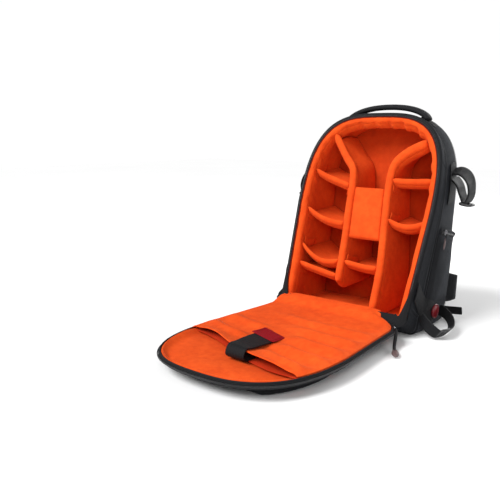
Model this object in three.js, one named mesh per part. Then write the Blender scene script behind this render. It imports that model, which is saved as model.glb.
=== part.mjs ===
// Camera backpack, open, standing on its base with its front flap laid down on the floor.
// Millimetres. +Z is up, +Y points to the wearer's back, -Y to the front flap.
// The origin is on the flat bottom of the base, between the two sides.
import * as THREE from 'three';

// Main bag: a wedge with an arched top
const openingWidth = 340;
const openingHeight = 462;
const footWidth = 314;
const baseWidth = 348;
const sideBulge = 5;
const shoulderShare = 0.5325;
const shoulderHeight = shoulderShare * openingHeight;
const archPower = 3.16;
const frontFoot = 76;
const backFoot = 122;
const frontLean = 20;
const backLean = 6;
const noseLift = 26;
const noseShare = 0.22;
const rearNarrowing = 10;
const rearHeightDrop = 18;
const topDome = 14;
const rearRadius = 28;
const footCorner = 18;
const sharpestCorner = 3;
const shellWall = 2.5;
const seamGap = 0.3;
const plateClearance = 1.6;

// Orange padded liner and the black zip rim round the opening
const linerThickness = 20;
const linerBackThickness = 12;
const backPadThickness = 14;
const rimWidth = 8;
const rimDepth = 7;

// Dividers and shelves inside
const dividerThickness = 17;
const shelfThickness = 11;
const centrePadThickness = 10;
const centrePadLow = 0.385;
const centrePadHigh = 0.635;
const centreColumn = 0.1;
const dividerFrontShare = 0.955;
const shelfFrontShare = 0.93;

// Front flap on the floor
const flapLength = 452;
const flapCorner = 64;
const flapArchPower = 2.7;
const flapHeight = 34;
const flapWall = 3;
const flapPocketHeight = 18.6;
const flapFloor = 3;
const liningDip = 7;
const liningBead = 3;
const sleeveThickness = 3;
const sleeveMargin = 9;
const sleeveMouthFar = 285;
const sleeveMouthNear = 366;
const hingeRise = 11;
const pocketStart = 42;
const pocketMargin = 22;
const pocketBevel = 6;
const pocketEndClear = 50;
const pocketSplit = 248;
const pocketSplitGap = 14;
const flapZipHeight = 8;
const flapZipDrop = 3;
const flapZipProud = 2.6;

// Holding strap of the sleeve, with its red tab
const sleeveStrapWidth = 48;
const sleeveStrapLength = 132;
const sleeveStrapInside = 36;
const sleeveStrapRootX = 14;
const sleeveStrapEndX = -4;
const sleeveStrapCurl = 15;
const webThickness = 2.4;
const tabLength = 48;
const tabOverhang = 4;
const tabThickness = 2;

// Side pockets and their zip pulls
const sidePocketBottomShare = 0.126;
const sidePocketBottom = sidePocketBottomShare * openingHeight;
const sidePocketTopShare = 0.48;
const sidePocketTop = sidePocketTopShare * openingHeight;
const sidePocketProud = 9;
const sidePocketEdge = 0.45;
const pullShare = 0.6;
const pullLength = 34;
const pullWidth = 9;
const pullThickness = 4;

// Pull of the main zip, hanging beside the flap's hinge
const mainPullWidth = 8;
const mainPullThickness = 4;
const mainPullOut = 20;

// Webbing loops and buckles on the sides
const sideWebWidth = 25;
const upperLoopReach = 44;
const upperLoopDrop = 68;
const upperLoopHeightShare = 0.747;
const upperLoopHeight = upperLoopHeightShare * openingHeight;
const upperLoopShare = 0.44;
const lowerLoopReach = 46;
const lowerLoopRear = 0.26;
const lowerLoopFront = 0.7;
const lowerLoopWidth = 18;
const lowerLoopHeight = 30;
const lowerLoopFloor = 1.5;
const lowerBuckleClear = 1.7;
const buckleThickness = 6;
const buckleLength = 32;
const badgeRadius = 9;
const badgeThickness = 2.4;
const badgeShare = 0.5;
const badgeHeight = 44;

// Carrying handle on the top
const handleSpan = 0.35;
const handleRise = 18;
const handleWidth = 26;
const handleThickness = 8;
const handleShare = 0.6;
const handleSeat = -0.4;

// Shoulder harness on the back
const strapSpreadShare = 0.1824;
const strapSpread = strapSpreadShare * openingWidth;
const strapTopShare = 0.831;
const strapTopHeight = strapTopShare * openingHeight;
const strapPadWidth = 62;
const strapPadThickness = 13;
const strapPadDropShare = 0.56;
const strapPadDrop = strapPadDropShare * strapTopHeight;
const strapBulge = 42;
const strapOverTop = 20;
const harnessWebWidth = 25;
const harnessWebFoot = 8;
const harnessWebSpreadShare = 0.306;
const harnessWebSpread = harnessWebSpreadShare * openingWidth;
const lifterWidth = 18;
const lifterRise = 12;
const sternumDrop = 0.36;
const sternumClear = 2.6;
const adjusterLength = 24;
const adjusterThickness = 5;

// Waist belt wings and webbing ends on the back
const wingInnerShare = 0.247;
const wingInner = wingInnerShare * openingWidth;
const wingOuterShare = 0.515;
const wingOuter = wingOuterShare * openingWidth;
const wingBottomShare = 0.13;
const wingBottom = wingBottomShare * strapTopHeight;
const wingTopShare = 0.281;
const wingTop = wingTopShare * strapTopHeight;
const wingThickness = 12;
const beltWebWidth = 18;
const beltWebHeight = 29;
const beltWebLength = 92;

const rad = Math.PI / 180;
const uCount = 8;
const bodyDepth = frontFoot + backFoot;

function lerp(a, b, t) {
  return a + (b - a) * t;
}

function smooth(t) {
  const c = Math.min(1, Math.max(0, t));
  return c * c * (3 - 2 * c);
}

// Half widths and height of the arched outline of a section
function sectionSize(share) {
  const grow = 4 * share * (1 - share);
  const toRim = smooth((share - 1 + 2 * noseShare) / (2 * noseShare));
  return {
    halfWidth: lerp(openingWidth / 2 - rearNarrowing, openingWidth / 2, share) + sideBulge * grow,
    halfFoot: lerp(baseWidth / 2 - rearNarrowing * (1 - share), footWidth / 2, toRim),
    height: lerp(openingHeight - rearHeightDrop, openingHeight, share) + topDome * grow,
    corner: footCorner,
    power: archPower,
    floor: 0,
  };
}

// The outline moved inwards by inset
function insetSize(size, inset) {
  return {
    ...size,
    halfWidth: size.halfWidth - inset,
    halfFoot: size.halfFoot - inset,
    height: size.height - inset,
    corner: Math.max(size.corner - inset, sharpestCorner),
    floor: size.floor + inset,
  };
}

// A point of the outline. u runs 0 bottom centre, 1 to 2 lower right corner, 2 to 3 right side,
// 3 to 5 arch over the top, 5 to 6 left side, 6 to 7 lower left corner, 8 bottom centre again.
function outlinePoint(size, u) {
  if (u < 0) {
    const mirrored = outlinePoint(size, -u);
    return [-mirrored[0], mirrored[1]];
  }
  if (u > 4) {
    const mirrored = outlinePoint(size, uCount - u);
    return [-mirrored[0], mirrored[1]];
  }
  const { halfWidth, halfFoot, height, corner, power, floor } = size;
  if (u <= 1) {
    return [u * (halfFoot - corner), floor];
  }
  if (u <= 2) {
    const turn = (u - 1) * 90 * rad;
    return [halfFoot - corner * (1 - Math.sin(turn)), floor + corner * (1 - Math.cos(turn))];
  }
  if (u <= 3) {
    return [lerp(halfFoot, halfWidth, u - 2), lerp(floor + corner, shoulderHeight, u - 2)];
  }
  const turn = (u - 3) * 90 * rad;
  const reach = (Math.cos(turn) ** power + Math.sin(turn) ** power) ** (1 / power);
  const rise = height - shoulderHeight;
  return [(halfWidth * Math.cos(turn)) / reach, shoulderHeight + (rise * Math.sin(turn)) / reach];
}

function insetPoint(size, u, inset) {
  return outlinePoint(insetSize(size, inset), u);
}

// From a section's plane to space. share is 0 at the back and 1 at the opening.
function place(x, h, share) {
  const lean = lerp(backLean, frontLean, share) * rad;
  const foot = lerp(backFoot, -frontFoot, share);
  const lift = noseLift * smooth((share - 1 + noseShare) / noseShare);
  return new THREE.Vector3(x, foot + h * Math.sin(lean), lift + h * Math.cos(lean));
}

// How far the rounded rear edges draw the shell in
function rearInset(share) {
  const depthShare = rearRadius / bodyDepth;
  if (share >= depthShare) {
    return 0;
  }
  const t = (depthShare - share) / depthShare;
  return rearRadius * (1 - Math.sqrt(Math.max(0, 1 - t * t)));
}

// A point on the bag's skin, out millimetres proud of it
function skin(u, share, out) {
  const p = insetPoint(sectionSize(share), u, rearInset(share) - out);
  return place(p[0], p[1], share);
}

// The u of the right side at a height above the section's foot
function sideAt(h, share) {
  let low = 2;
  let high = 4;
  for (let i = 0; i < 40; i += 1) {
    const mid = (low + high) / 2;
    if (outlinePoint(sectionSize(share), mid)[1] < h) {
      low = mid;
    } else {
      high = mid;
    }
  }
  return low;
}

function onSide(side, u) {
  return side > 0 ? u : uCount - u;
}

// A point behind the face of the back panel
function behind(x, h, out) {
  const p = place(x, h, -backPadThickness / bodyDepth / 2);
  p.y += out;
  return p;
}

// Closed mesh from points and faces, with its faces turned outwards
function closedMesh(points, faces) {
  let volume = 0;
  const cross = new THREE.Vector3();
  for (const [a, b, c] of faces) {
    volume += points[a].dot(cross.crossVectors(points[b], points[c]));
  }
  const index = faces.flatMap(([a, b, c]) => (volume < 0 ? [a, c, b] : [a, b, c]));
  const geometry = new THREE.BufferGeometry();
  geometry.setAttribute('position', new THREE.Float32BufferAttribute(points.flatMap((p) => p.toArray()), 3));
  geometry.setIndex(index);
  geometry.computeVertexNormals();
  return geometry;
}

// Thick sheet: at(i, j, side) gives the two skins over a grid of stations
function sheet(rows, columns, at) {
  const points = [];
  const faces = [];
  const id = (i, j, side) => (i * columns + j) * 2 + side;
  for (let i = 0; i < rows; i += 1) {
    for (let j = 0; j < columns; j += 1) {
      points.push(at(i, j, 0), at(i, j, 1));
    }
  }
  const quad = (a, b, c, d) => faces.push([a, b, c], [a, c, d]);
  for (let i = 0; i < rows - 1; i += 1) {
    for (let j = 0; j < columns - 1; j += 1) {
      quad(id(i, j, 0), id(i + 1, j, 0), id(i + 1, j + 1, 0), id(i, j + 1, 0));
      quad(id(i, j, 1), id(i, j + 1, 1), id(i + 1, j + 1, 1), id(i + 1, j, 1));
    }
    const last = columns - 1;
    quad(id(i, 0, 0), id(i, 0, 1), id(i + 1, 0, 1), id(i + 1, 0, 0));
    quad(id(i, last, 0), id(i + 1, last, 0), id(i + 1, last, 1), id(i, last, 1));
  }
  for (let j = 0; j < columns - 1; j += 1) {
    const last = rows - 1;
    quad(id(0, j, 0), id(0, j + 1, 0), id(0, j + 1, 1), id(0, j, 1));
    quad(id(last, j, 0), id(last, j, 1), id(last, j + 1, 1), id(last, j + 1, 0));
  }
  return closedMesh(points, faces);
}

// Rings of equal count joined in order. closed joins the last ring to the first one.
function loft(rings, closed) {
  const count = rings[0].length;
  const points = rings.flat();
  const faces = [];
  const joints = closed ? rings.length : rings.length - 1;
  for (let r = 0; r < joints; r += 1) {
    const next = (r + 1) % rings.length;
    for (let k = 0; k < count; k += 1) {
      const a = r * count + k;
      const b = r * count + ((k + 1) % count);
      const c = next * count + ((k + 1) % count);
      const d = next * count + k;
      faces.push([a, b, c], [a, c, d]);
    }
  }
  if (!closed) {
    const last = (rings.length - 1) * count;
    const first = points.push(middle(rings[0])) - 1;
    const end = points.push(middle(rings[rings.length - 1])) - 1;
    for (let k = 0; k < count; k += 1) {
      const next = (k + 1) % count;
      faces.push([first, next, k], [end, last + k, last + next]);
    }
  }
  return closedMesh(points, faces);
}

function middle(ring) {
  const sum = new THREE.Vector3();
  ring.forEach((p) => sum.add(p));
  return sum.divideScalar(ring.length);
}

// Strap of flat section along a smooth path; across is the direction of its width
function strap(path, across, width, thickness, steps, roundness = 0) {
  const curve = new THREE.CatmullRomCurve3(path, false, 'centripetal');
  const rings = [];
  for (let i = 0; i <= steps; i += 1) {
    const p = curve.getPointAt(i / steps);
    const tangent = curve.getTangentAt(i / steps);
    const wide = new THREE.Vector3().copy(across);
    wide.addScaledVector(tangent, -wide.dot(tangent)).normalize();
    const thick = new THREE.Vector3().crossVectors(tangent, wide);
    const profile = flatProfile(width, thickness, roundness);
    rings.push(profile.map(([a, b]) => p.clone().addScaledVector(wide, a).addScaledVector(thick, b)));
  }
  return loft(rings, false);
}

// Rectangle, or a pad whose edges thin out by the share roundness
function flatProfile(width, thickness, roundness) {
  const a = width / 2;
  const b = thickness / 2;
  if (roundness === 0) {
    return [[-a, -b], [a, -b], [a, b], [-a, b]];
  }
  const edge = b * (1 - roundness);
  const inner = a - b * 2 * roundness;
  return [[-inner, -b], [inner, -b], [a, -edge], [a, edge], [inner, b], [-inner, b], [-a, edge], [-a, -edge]];
}

// Part of the bag's wall between two insets, from u0 to u1 and over a list of shares
function wallPanel(u0, u1, steps, shares, inset0, inset1) {
  return sheet(steps + 1, shares.length, (i, j, side) => {
    const inset = side === 0 ? inset0 : inset1;
    return skin(lerp(u0, u1, i / steps), shares[j], -inset);
  });
}

// Filled plate in the section planes between two shares
function wallPlate(inset, share0, share1) {
  const samples = outlineSamples(6, 4, 6, 8);
  const ring = (share) => samples.map((u) => {
    const p = insetPoint(sectionSize(share), u, inset);
    return place(p[0], p[1], share);
  });
  return loft([ring(share0), ring(share1)], false);
}

// Stations all the way round an outline
function outlineSamples(bottom, corner, side, arch) {
  const list = [];
  const stretch = (from, to, count) => {
    for (let i = 0; i < count; i += 1) {
      list.push(lerp(from, to, i / count));
    }
  };
  stretch(0, 1, bottom / 2);
  stretch(1, 2, corner);
  stretch(2, 3, side / 2);
  stretch(3, 5, arch * 2);
  stretch(5, 6, side / 2);
  stretch(6, 7, corner);
  stretch(7, 8, bottom / 2);
  return list;
}

const linerSteps = { corner: 3, side: 4 };
const topSteps = 14;
const seamU = 3.3;
const rearShare = rearRadius / bodyDepth;
const rimShare = 0.982;
const noseStart = 1 - noseShare;
const noseShares = [0, 0.35, 0.65].map((part) => lerp(noseStart, 1, part));
const linerShares = [rearShare, lerp(rearShare, noseStart, 0.5), ...noseShares, rimShare];
const rearShares = [90, 67.5, 45, 22.5].map((angle) => rearShare * (1 - Math.sin(angle * rad)));
const shellShares = [...rearShares, ...linerShares];

// Stations of an inner piece that stops short of the rim
function innerShares(front) {
  return [...linerShares.filter((share) => share < front - 0.01), front];
}
const innerInset = shellWall + seamGap + linerThickness;

// The u at about half the seam gap before or after a seam
function besideSeam(u, direction) {
  const step = 0.02 * direction;
  const here = outlinePoint(sectionSize(1), u);
  const there = outlinePoint(sectionSize(1), u + step);
  return u + (step * seamGap) / Math.hypot(there[0] - here[0], there[1] - here[1]);
}

const cloth = {
  black: new THREE.MeshStandardMaterial({ color: 0x25272b, roughness: 0.85, metalness: 0 }),
  web: new THREE.MeshStandardMaterial({ color: 0x1b1c1f, roughness: 0.8, metalness: 0 }),
  orange: new THREE.MeshStandardMaterial({ color: 0xff5a1e, roughness: 0.75, metalness: 0 }),
  red: new THREE.MeshStandardMaterial({ color: 0x8a1418, roughness: 0.55, metalness: 0 }),
  plastic: new THREE.MeshStandardMaterial({ color: 0x17181a, roughness: 0.45, metalness: 0 }),
  rubber: new THREE.MeshStandardMaterial({ color: 0x4b4a4c, roughness: 0.6, metalness: 0 }),
};

const bag = new THREE.Group();

function add(parent, name, geometry, material) {
  const mesh = new THREE.Mesh(geometry, material);
  mesh.name = name;
  parent.add(mesh);
}

const sides = [
  { word: 'right', sign: 1 },
  { word: 'left', sign: -1 },
];

// Sewn outer panels
function outerShell() {
  const group = new THREE.Group();
  const outer = 0;
  const inner = shellWall;
  const base = wallPanel(besideSeam(-1, 1), besideSeam(1, -1), 4, shellShares, outer, inner);
  add(group, 'base_panel', base, cloth.black);
  for (const { word, sign } of sides) {
    const from = onSide(sign, besideSeam(1, 1));
    const to = onSide(sign, besideSeam(seamU, -1));
    add(group, `side_panel_${word}`, sidePanel(from, to, outer, inner, shellShares), cloth.black);
  }
  const seam = besideSeam(seamU, 1);
  const top = wallPanel(seam, uCount - seam, topSteps, shellShares, outer, inner);
  add(group, 'top_panel', top, cloth.black);
  const backInset = rearRadius + shellWall + 4 * seamGap;
  const backHalf = backPadThickness / bodyDepth / 2;
  add(group, 'back_panel', wallPlate(backInset, -backHalf, backHalf), cloth.black);
  return group;
}

// Side wall with its own stations: three in the lower corner, five up the side
function sidePanel(from, to, inset0, inset1, shares) {
  const sign = from < to ? 1 : -1;
  const edge = onSide(sign, 2);
  const stations = [];
  for (let i = 0; i <= linerSteps.corner; i += 1) {
    stations.push(lerp(from, edge, i / linerSteps.corner));
  }
  for (let i = 1; i <= linerSteps.side; i += 1) {
    stations.push(lerp(edge, onSide(sign, 3), i / linerSteps.side));
  }
  stations.push(lerp(onSide(sign, 3), to, 0.5), to);
  return sheet(stations.length, shares.length, (i, j, side) => {
    const inset = side === 0 ? inset0 : inset1;
    return skin(stations[i], shares[j], -inset);
  });
}

// Padded liner walls
function liner() {
  const group = new THREE.Group();
  const outer = shellWall + seamGap;
  const inner = innerInset;
  const base = wallPanel(besideSeam(-1, 1), besideSeam(1, -1), 4, linerShares, outer, inner);
  add(group, 'liner_base', base, cloth.orange);
  for (const { word, sign } of sides) {
    const from = onSide(sign, besideSeam(1, 1));
    const to = onSide(sign, besideSeam(seamU, -1));
    add(group, `liner_${word}`, sidePanel(from, to, outer, inner, linerShares), cloth.orange);
  }
  const seam = besideSeam(seamU, 1);
  const top = wallPanel(seam, uCount - seam, topSteps, linerShares, outer, inner);
  add(group, 'liner_top', top, cloth.orange);
  const rear = linerShares[0] - seamGap / bodyDepth;
  const plateInset = rearInset(rear - linerBackThickness / bodyDepth) + shellWall + plateClearance;
  add(group, 'liner_back', wallPlate(plateInset, rear - linerBackThickness / bodyDepth, rear), cloth.orange);
  return group;
}

// Black zip rim in front of the shell's edge
function openingRim() {
  const first = linerShares[linerShares.length - 1] + seamGap / bodyDepth;
  const shares = [first, first + rimDepth / bodyDepth];
  const from = 2.04;
  return wallPanel(from, uCount - from, 28, shares, 0, rimWidth);
}

// Cross lines of a section plane, for pieces that end on the liner or on each other
function linerPolygon(share) {
  const line = [];
  const stretch = (from, to, count) => {
    for (let i = 0; i < count; i += 1) {
      line.push(lerp(from, to, i / count));
    }
  };
  stretch(0, 1, 2);
  stretch(1, 2, linerSteps.corner);
  stretch(2, 3, linerSteps.side);
  line.push(3, lerp(3, seamU, 0.5));
  stretch(seamU, uCount - seamU, topSteps);
  line.push(uCount - seamU, lerp(5, uCount - seamU, 0.5), 5);
  stretch(5, 6, linerSteps.side);
  stretch(6, 7, linerSteps.corner);
  stretch(7, 8, 2);
  return line.map((u) => insetPoint(sectionSize(share), u, innerInset + rearInset(share)));
}

// Distance from a point along a direction to the nearest side of the polygons
function reachAlong(point, direction, polygons) {
  let nearest = Infinity;
  for (const polygon of polygons) {
    for (let k = 0; k < polygon.length; k += 1) {
      const [ax, ah] = polygon[k];
      const [bx, bh] = polygon[(k + 1) % polygon.length];
      const ex = bx - ax;
      const eh = bh - ah;
      const det = direction[0] * eh - direction[1] * ex;
      if (Math.abs(det) > 1e-9) {
        const t = ((ax - point[0]) * eh - (ah - point[1]) * ex) / det;
        const along = ((ax - point[0]) * direction[1] - (ah - point[1]) * direction[0]) / det;
        if (t > 0 && along >= 0 && along <= 1 && t < nearest) {
          nearest = t;
        }
      }
    }
  }
  return nearest;
}

// Outline of a band of even thickness along a line
function bandPolygon(line, thickness) {
  const offset = (sign) => line.map((p, k) => {
    const before = line[Math.max(0, k - 1)];
    const after = line[Math.min(line.length - 1, k + 1)];
    const dx = after[0] - before[0];
    const dh = after[1] - before[1];
    const length = Math.hypot(dx, dh);
    return [p[0] - (dh / length) * sign * (thickness / 2), p[1] + (dx / length) * sign * (thickness / 2)];
  });
  return { left: offset(1), right: offset(-1) };
}

// Band swept from the liner's back to the front, its ends cut at what they meet
function dividerSheet(line, thickness, frontShare, startMeets, endMeets) {
  const shares = innerShares(frontShare);
  const { left, right } = bandPolygon(line, thickness);
  const last = line.length - 1;
  return sheet(line.length, shares.length, (i, j, side) => {
    const share = shares[j];
    const edge = side === 0 ? left : right;
    let point = edge[i];
    if (i === 0) {
      point = cutEnd(edge[1], edge[0], startMeets, share);
    }
    if (i === last) {
      point = cutEnd(edge[last - 1], edge[last], endMeets, share);
    }
    return place(point[0], point[1], share);
  });
}

// The end of a band's edge, moved along itself to the seam gap before what it meets
function cutEnd(inner, end, meets, share) {
  if (meets === null) {
    return end;
  }
  const dx = end[0] - inner[0];
  const dh = end[1] - inner[1];
  const length = Math.hypot(dx, dh);
  const direction = [dx / length, dh / length];
  const reach = reachAlong(inner, direction, meets(share)) - 2 * seamGap;
  return [inner[0] + direction[0] * reach, inner[1] + direction[1] * reach];
}

function closedBand(line, thickness) {
  const { left, right } = bandPolygon(line, thickness);
  return [...left, ...[...right].reverse()];
}

// Lines of the dividers as shares: across of half the opening, up of its height
const leftDividerLine = [
  { across: -0.165, up: 0.155 },
  { across: -0.185, up: 0.34 },
  { across: -0.225, up: 0.54 },
  { across: -0.25, up: 0.68 },
  { across: -0.29, up: 0.735 },
  { across: -0.42, up: 0.79 },
  { across: -0.57, up: 0.862 },
];
const rightDividerLine = [
  { across: 0.4, up: 0.07 },
  { across: 0.4, up: 0.25 },
  { across: 0.34, up: 0.46 },
  { across: 0.29, up: 0.68 },
  { across: 0.32, up: 0.76 },
  { across: 0.46, up: 0.815 },
  { across: 0.7, up: 0.865 },
];

// Shelves: where they cross a column, their height at both ends and their sag
const shelfTable = [
  { name: 'left_shelf_1', across: -0.58, from: 0.713, to: 0.645, sag: -0.004 },
  { name: 'left_shelf_2', across: -0.55, from: 0.51, to: 0.45, sag: -0.018 },
  { name: 'left_shelf_3', across: -0.5, from: 0.322, to: 0.262, sag: -0.036 },
  { name: 'left_shelf_4', across: -0.45, from: 0.226, to: 0.188, sag: -0.002 },
  { name: 'centre_shelf', across: 0.1, from: 0.262, to: 0.25, sag: -0.004 },
  { name: 'right_shelf_1', across: 0.55, from: 0.678, to: 0.683, sag: -0.002 },
  { name: 'right_shelf_2', across: 0.58, from: 0.487, to: 0.487, sag: -0.024 },
];

function tableLine(rows) {
  return rows.map(({ across, up }) => [(across * openingWidth) / 2, up * openingHeight]);
}

// Shelf between whatever bounds its column
function shelf({ across, from, to, sag }, thickness, bands) {
  const steps = 6;
  const shares = innerShares(shelfFrontShare);
  const x0 = (across * openingWidth) / 2;
  return sheet(steps + 1, shares.length, (i, j, side) => {
    const share = shares[j];
    const walls = [linerPolygon(share), ...bands];
    const lift = side === 0 ? thickness / 2 : -thickness / 2;
    const t = i / steps;
    const h = lerp(from, to, t) * openingHeight + sag * openingHeight * 4 * t * (1 - t) + lift;
    const leftReach = reachAlong([x0, h], [-1, 0], walls) - 2 * seamGap;
    const rightReach = reachAlong([x0, h], [1, 0], walls) - 2 * seamGap;
    return place(lerp(x0 - leftReach, x0 + rightReach, t), h, share);
  });
}

function interior() {
  const group = new THREE.Group();
  const liners = (share) => [linerPolygon(share)];
  const leftLine = tableLine(leftDividerLine);
  const rightLine = tableLine(rightDividerLine);
  const leftBand = closedBand(leftLine, dividerThickness);
  const rightBand = closedBand(rightLine, dividerThickness);
  const leftSheet = dividerSheet(leftLine, dividerThickness, dividerFrontShare, null, liners);
  add(group, 'left_divider', leftSheet, cloth.orange);
  const rightSheet = dividerSheet(rightLine, dividerThickness, dividerFrontShare, liners, liners);
  add(group, 'right_divider', rightSheet, cloth.orange);
  for (const row of shelfTable) {
    add(group, row.name, shelf(row, shelfThickness, [leftBand, rightBand]), cloth.orange);
  }
  add(group, 'centre_pad', centrePad(leftBand, rightBand), cloth.orange);
  return group;
}

// Upright padded panel that closes the centre column
function centrePad(leftBand, rightBand) {
  const rows = 4;
  const columns = 3;
  const x0 = (centreColumn * openingWidth) / 2;
  const depth = centrePadThickness / bodyDepth;
  return sheet(rows + 1, columns + 1, (i, j, side) => {
    const h = lerp(centrePadLow, centrePadHigh, i / rows) * openingHeight;
    const leftReach = reachAlong([x0, h], [-1, 0], [leftBand]) - 2 * seamGap;
    const rightReach = reachAlong([x0, h], [1, 0], [rightBand]) - 2 * seamGap;
    const x = lerp(x0 - leftReach, x0 + rightReach, j / columns);
    return place(x, h, shelfFrontShare - (side === 0 ? 0 : depth));
  });
}

// Flap outline, laid down: the distance from the hinge runs along -Y
const flapSize = {
  halfWidth: openingWidth / 2,
  halfFoot: footWidth / 2,
  height: flapLength,
  corner: flapCorner,
  power: flapArchPower,
  floor: 0,
};
const flapHinge = frontFoot + 2;
const flapStations = outlineSamples(4, 4, 6, 7);

function flapPoint(u, inset, z) {
  const p = insetPoint(flapSize, u, inset);
  return new THREE.Vector3(p[0], -flapHinge - p[1], z);
}

function flapRing(inset, z) {
  return flapStations.map((u) => flapPoint(u, inset, z));
}

// Half width of the flap at a distance from the hinge
function flapHalfWidth(distance, inset) {
  const ring = flapStations.map((u) => insetPoint(flapSize, u, inset));
  return reachAlong([0, distance], [1, 0], [ring]);
}

function flap() {
  const group = new THREE.Group();
  const bottom = flapPocketHeight + seamGap;
  const floor = bottom + flapFloor;
  const round = (flapHeight - bottom) / 3;
  const tray = [
    flapRing(2 * round, bottom),
    flapRing(round / 2, bottom + round / 2),
    flapRing(0, bottom + 1.5 * round),
    flapRing(0, flapHeight),
    flapRing(flapWall, flapHeight),
    flapRing(flapWall + round / 2, floor + round / 2),
    flapRing(flapWall + round, floor),
  ];
  add(group, 'flap_panel', loft(tray, false), cloth.black);
  const edge = flapWall + 2 * seamGap;
  const lining = [
    flapRing(edge + round, floor + seamGap),
    flapRing(edge + round / 2, floor + round / 2 + seamGap),
    flapRing(edge, flapHeight),
    flapRing(edge + liningBead, flapHeight + 1),
    flapRing(edge + sleeveMargin, flapHeight),
    flapRing(edge + sleeveMargin * 2, flapHeight - liningDip),
  ];
  add(group, 'flap_lining', loft(lining, false), cloth.orange);
  add(group, 'flap_sleeve', sleeve(), cloth.orange);
  add(group, 'flap_zip', flapZip(), cloth.web);
  add(group, 'front_pocket_lower', flapPocket(pocketStart, pocketSplit), cloth.black);
  const upperPocket = flapPocket(pocketSplit + pocketSplitGap, flapLength - pocketEndClear);
  add(group, 'front_pocket_upper', upperPocket, cloth.black);
  add(group, 'flap_hinge', flapHingeStrip(), cloth.black);
  return group;
}

// Cloth strip that joins the flap to the front edge of the base
function flapHingeStrip() {
  const bag = place(0, 0, rimShare);
  const half = flapSize.halfFoot - flapCorner - seamGap;
  return sheet(5, 2, (i, j, side) => {
    const y = j === 0 ? bag.y - seamGap : -flapHinge + seamGap;
    return new THREE.Vector3(lerp(-half, half, i / 4), y, bag.z + side * shellWall);
  });
}

// Distance of the sleeve's mouth from the hinge, skewed as it lies
function mouthDistance(t) {
  return lerp(sleeveMouthFar, sleeveMouthNear, smooth(t * 1.25));
}

function sleeveHeight(distance) {
  return flapHeight + 1 + seamGap + hingeRise * smooth(1 - distance / (2 * flapCorner / 3));
}

// Orange panel over the hinge half of the flap, open towards the tip
function sleeve() {
  const rows = 9;
  const columns = 8;
  const margin = flapWall + sleeveMargin / 2;
  return sheet(rows + 1, columns + 1, (i, j, side) => {
    const t = j / columns;
    const distance = lerp(0, mouthDistance(t), (i / rows) ** 1.15);
    const half = flapHalfWidth(Math.max(distance, margin + 1), margin);
    const z = sleeveHeight(distance) + (side === 0 ? 0 : sleeveThickness);
    return new THREE.Vector3(lerp(-half, half, t), -flapHinge - distance, z);
  });
}

// Zip tape round the flap's side
function flapZip() {
  const stations = flapStations.filter((u) => u >= 1.5 && u <= 6.5);
  const low = flapHeight - flapZipDrop - flapZipHeight;
  return sheet(stations.length, 2, (i, j, side) => {
    const inset = side === 0 ? -seamGap : -flapZipProud;
    return flapPoint(stations[i], inset, low + j * flapZipHeight);
  });
}

// Flat pocket under the flap, between two distances from the hinge
function flapPocket(near, far) {
  const rows = 7;
  const ring = (inset, trim, z) => {
    const right = [];
    const left = [];
    for (let i = 0; i <= rows; i += 1) {
      const distance = lerp(near + trim, far - trim, i / rows);
      const half = flapHalfWidth(distance, inset + trim);
      right.push(new THREE.Vector3(half, -flapHinge - distance, z));
      left.push(new THREE.Vector3(-half, -flapHinge - distance, z));
    }
    return [...right, ...left.reverse()];
  };
  return loft([ring(pocketMargin, pocketBevel, 0), ring(pocketMargin, 0, flapPocketHeight * 0.45),
    ring(pocketMargin, 0, flapPocketHeight)], false);
}

// Strap that holds what is in the sleeve: out of its mouth, curled back over it
function sleeveStrap() {
  const t = 0.5 + sleeveStrapRootX / openingWidth;
  const mouth = mouthDistance(t);
  const inside = flapHeight - liningDip + webThickness;
  const over = flapHeight + 1 + seamGap + sleeveThickness + webThickness / 2 + 2 * seamGap;
  const rows = [
    { back: -sleeveStrapInside, z: inside, turn: 0 },
    { back: 0, z: inside, turn: 0 },
    { back: sleeveStrapCurl * 0.7, z: inside + 2, turn: 0.05 },
    { back: sleeveStrapCurl, z: lerp(inside, over, 0.6), turn: 0.1 },
    { back: sleeveStrapCurl * 0.6, z: over + 3, turn: 0.15 },
    { back: -sleeveStrapCurl, z: over + 1.5, turn: 0.3 },
    { back: -sleeveStrapLength * 0.5, z: over, turn: 0.6 },
    { back: -sleeveStrapLength, z: over, turn: 1 },
  ];
  const at = ({ back, z, turn }) => new THREE.Vector3(lerp(sleeveStrapRootX, sleeveStrapEndX, turn),
    -flapHinge - mouth - back, z);
  const path = rows.map(at);
  return strap(path, new THREE.Vector3(1, 0, 0), sleeveStrapWidth, webThickness, 22);
}

function sleeveTab() {
  const mouth = mouthDistance(0.5 + sleeveStrapRootX / openingWidth);
  const z = flapHeight + 1 + seamGap + sleeveThickness + webThickness + 3 * seamGap + tabThickness / 2;
  const end = -flapHinge - mouth + sleeveStrapLength;
  const path = [new THREE.Vector3(sleeveStrapEndX, end + tabOverhang, z),
    new THREE.Vector3(sleeveStrapEndX, end + tabOverhang - tabLength, z)];
  return strap(path, new THREE.Vector3(1, 0, 0), sleeveStrapWidth + 2 * tabOverhang, tabThickness, 1);
}

// Flat pocket on a side, fuller in the middle than at its seams
function sidePocket(sign) {
  const rows = 6;
  const shares = [rearShare, lerp(rearShare, noseStart, 0.25), lerp(rearShare, noseStart, 0.5),
    lerp(rearShare, noseStart, 0.75), noseStart];
  return sheet(rows + 1, shares.length, (i, j, side) => {
    const h = lerp(sidePocketBottom, sidePocketTop, i / rows);
    const out = side === 0 ? 2 * seamGap : pocketOut(shares[j], h);
    return skin(onSide(sign, sideAt(h, shares[j])), shares[j], out);
  });
}

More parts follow.
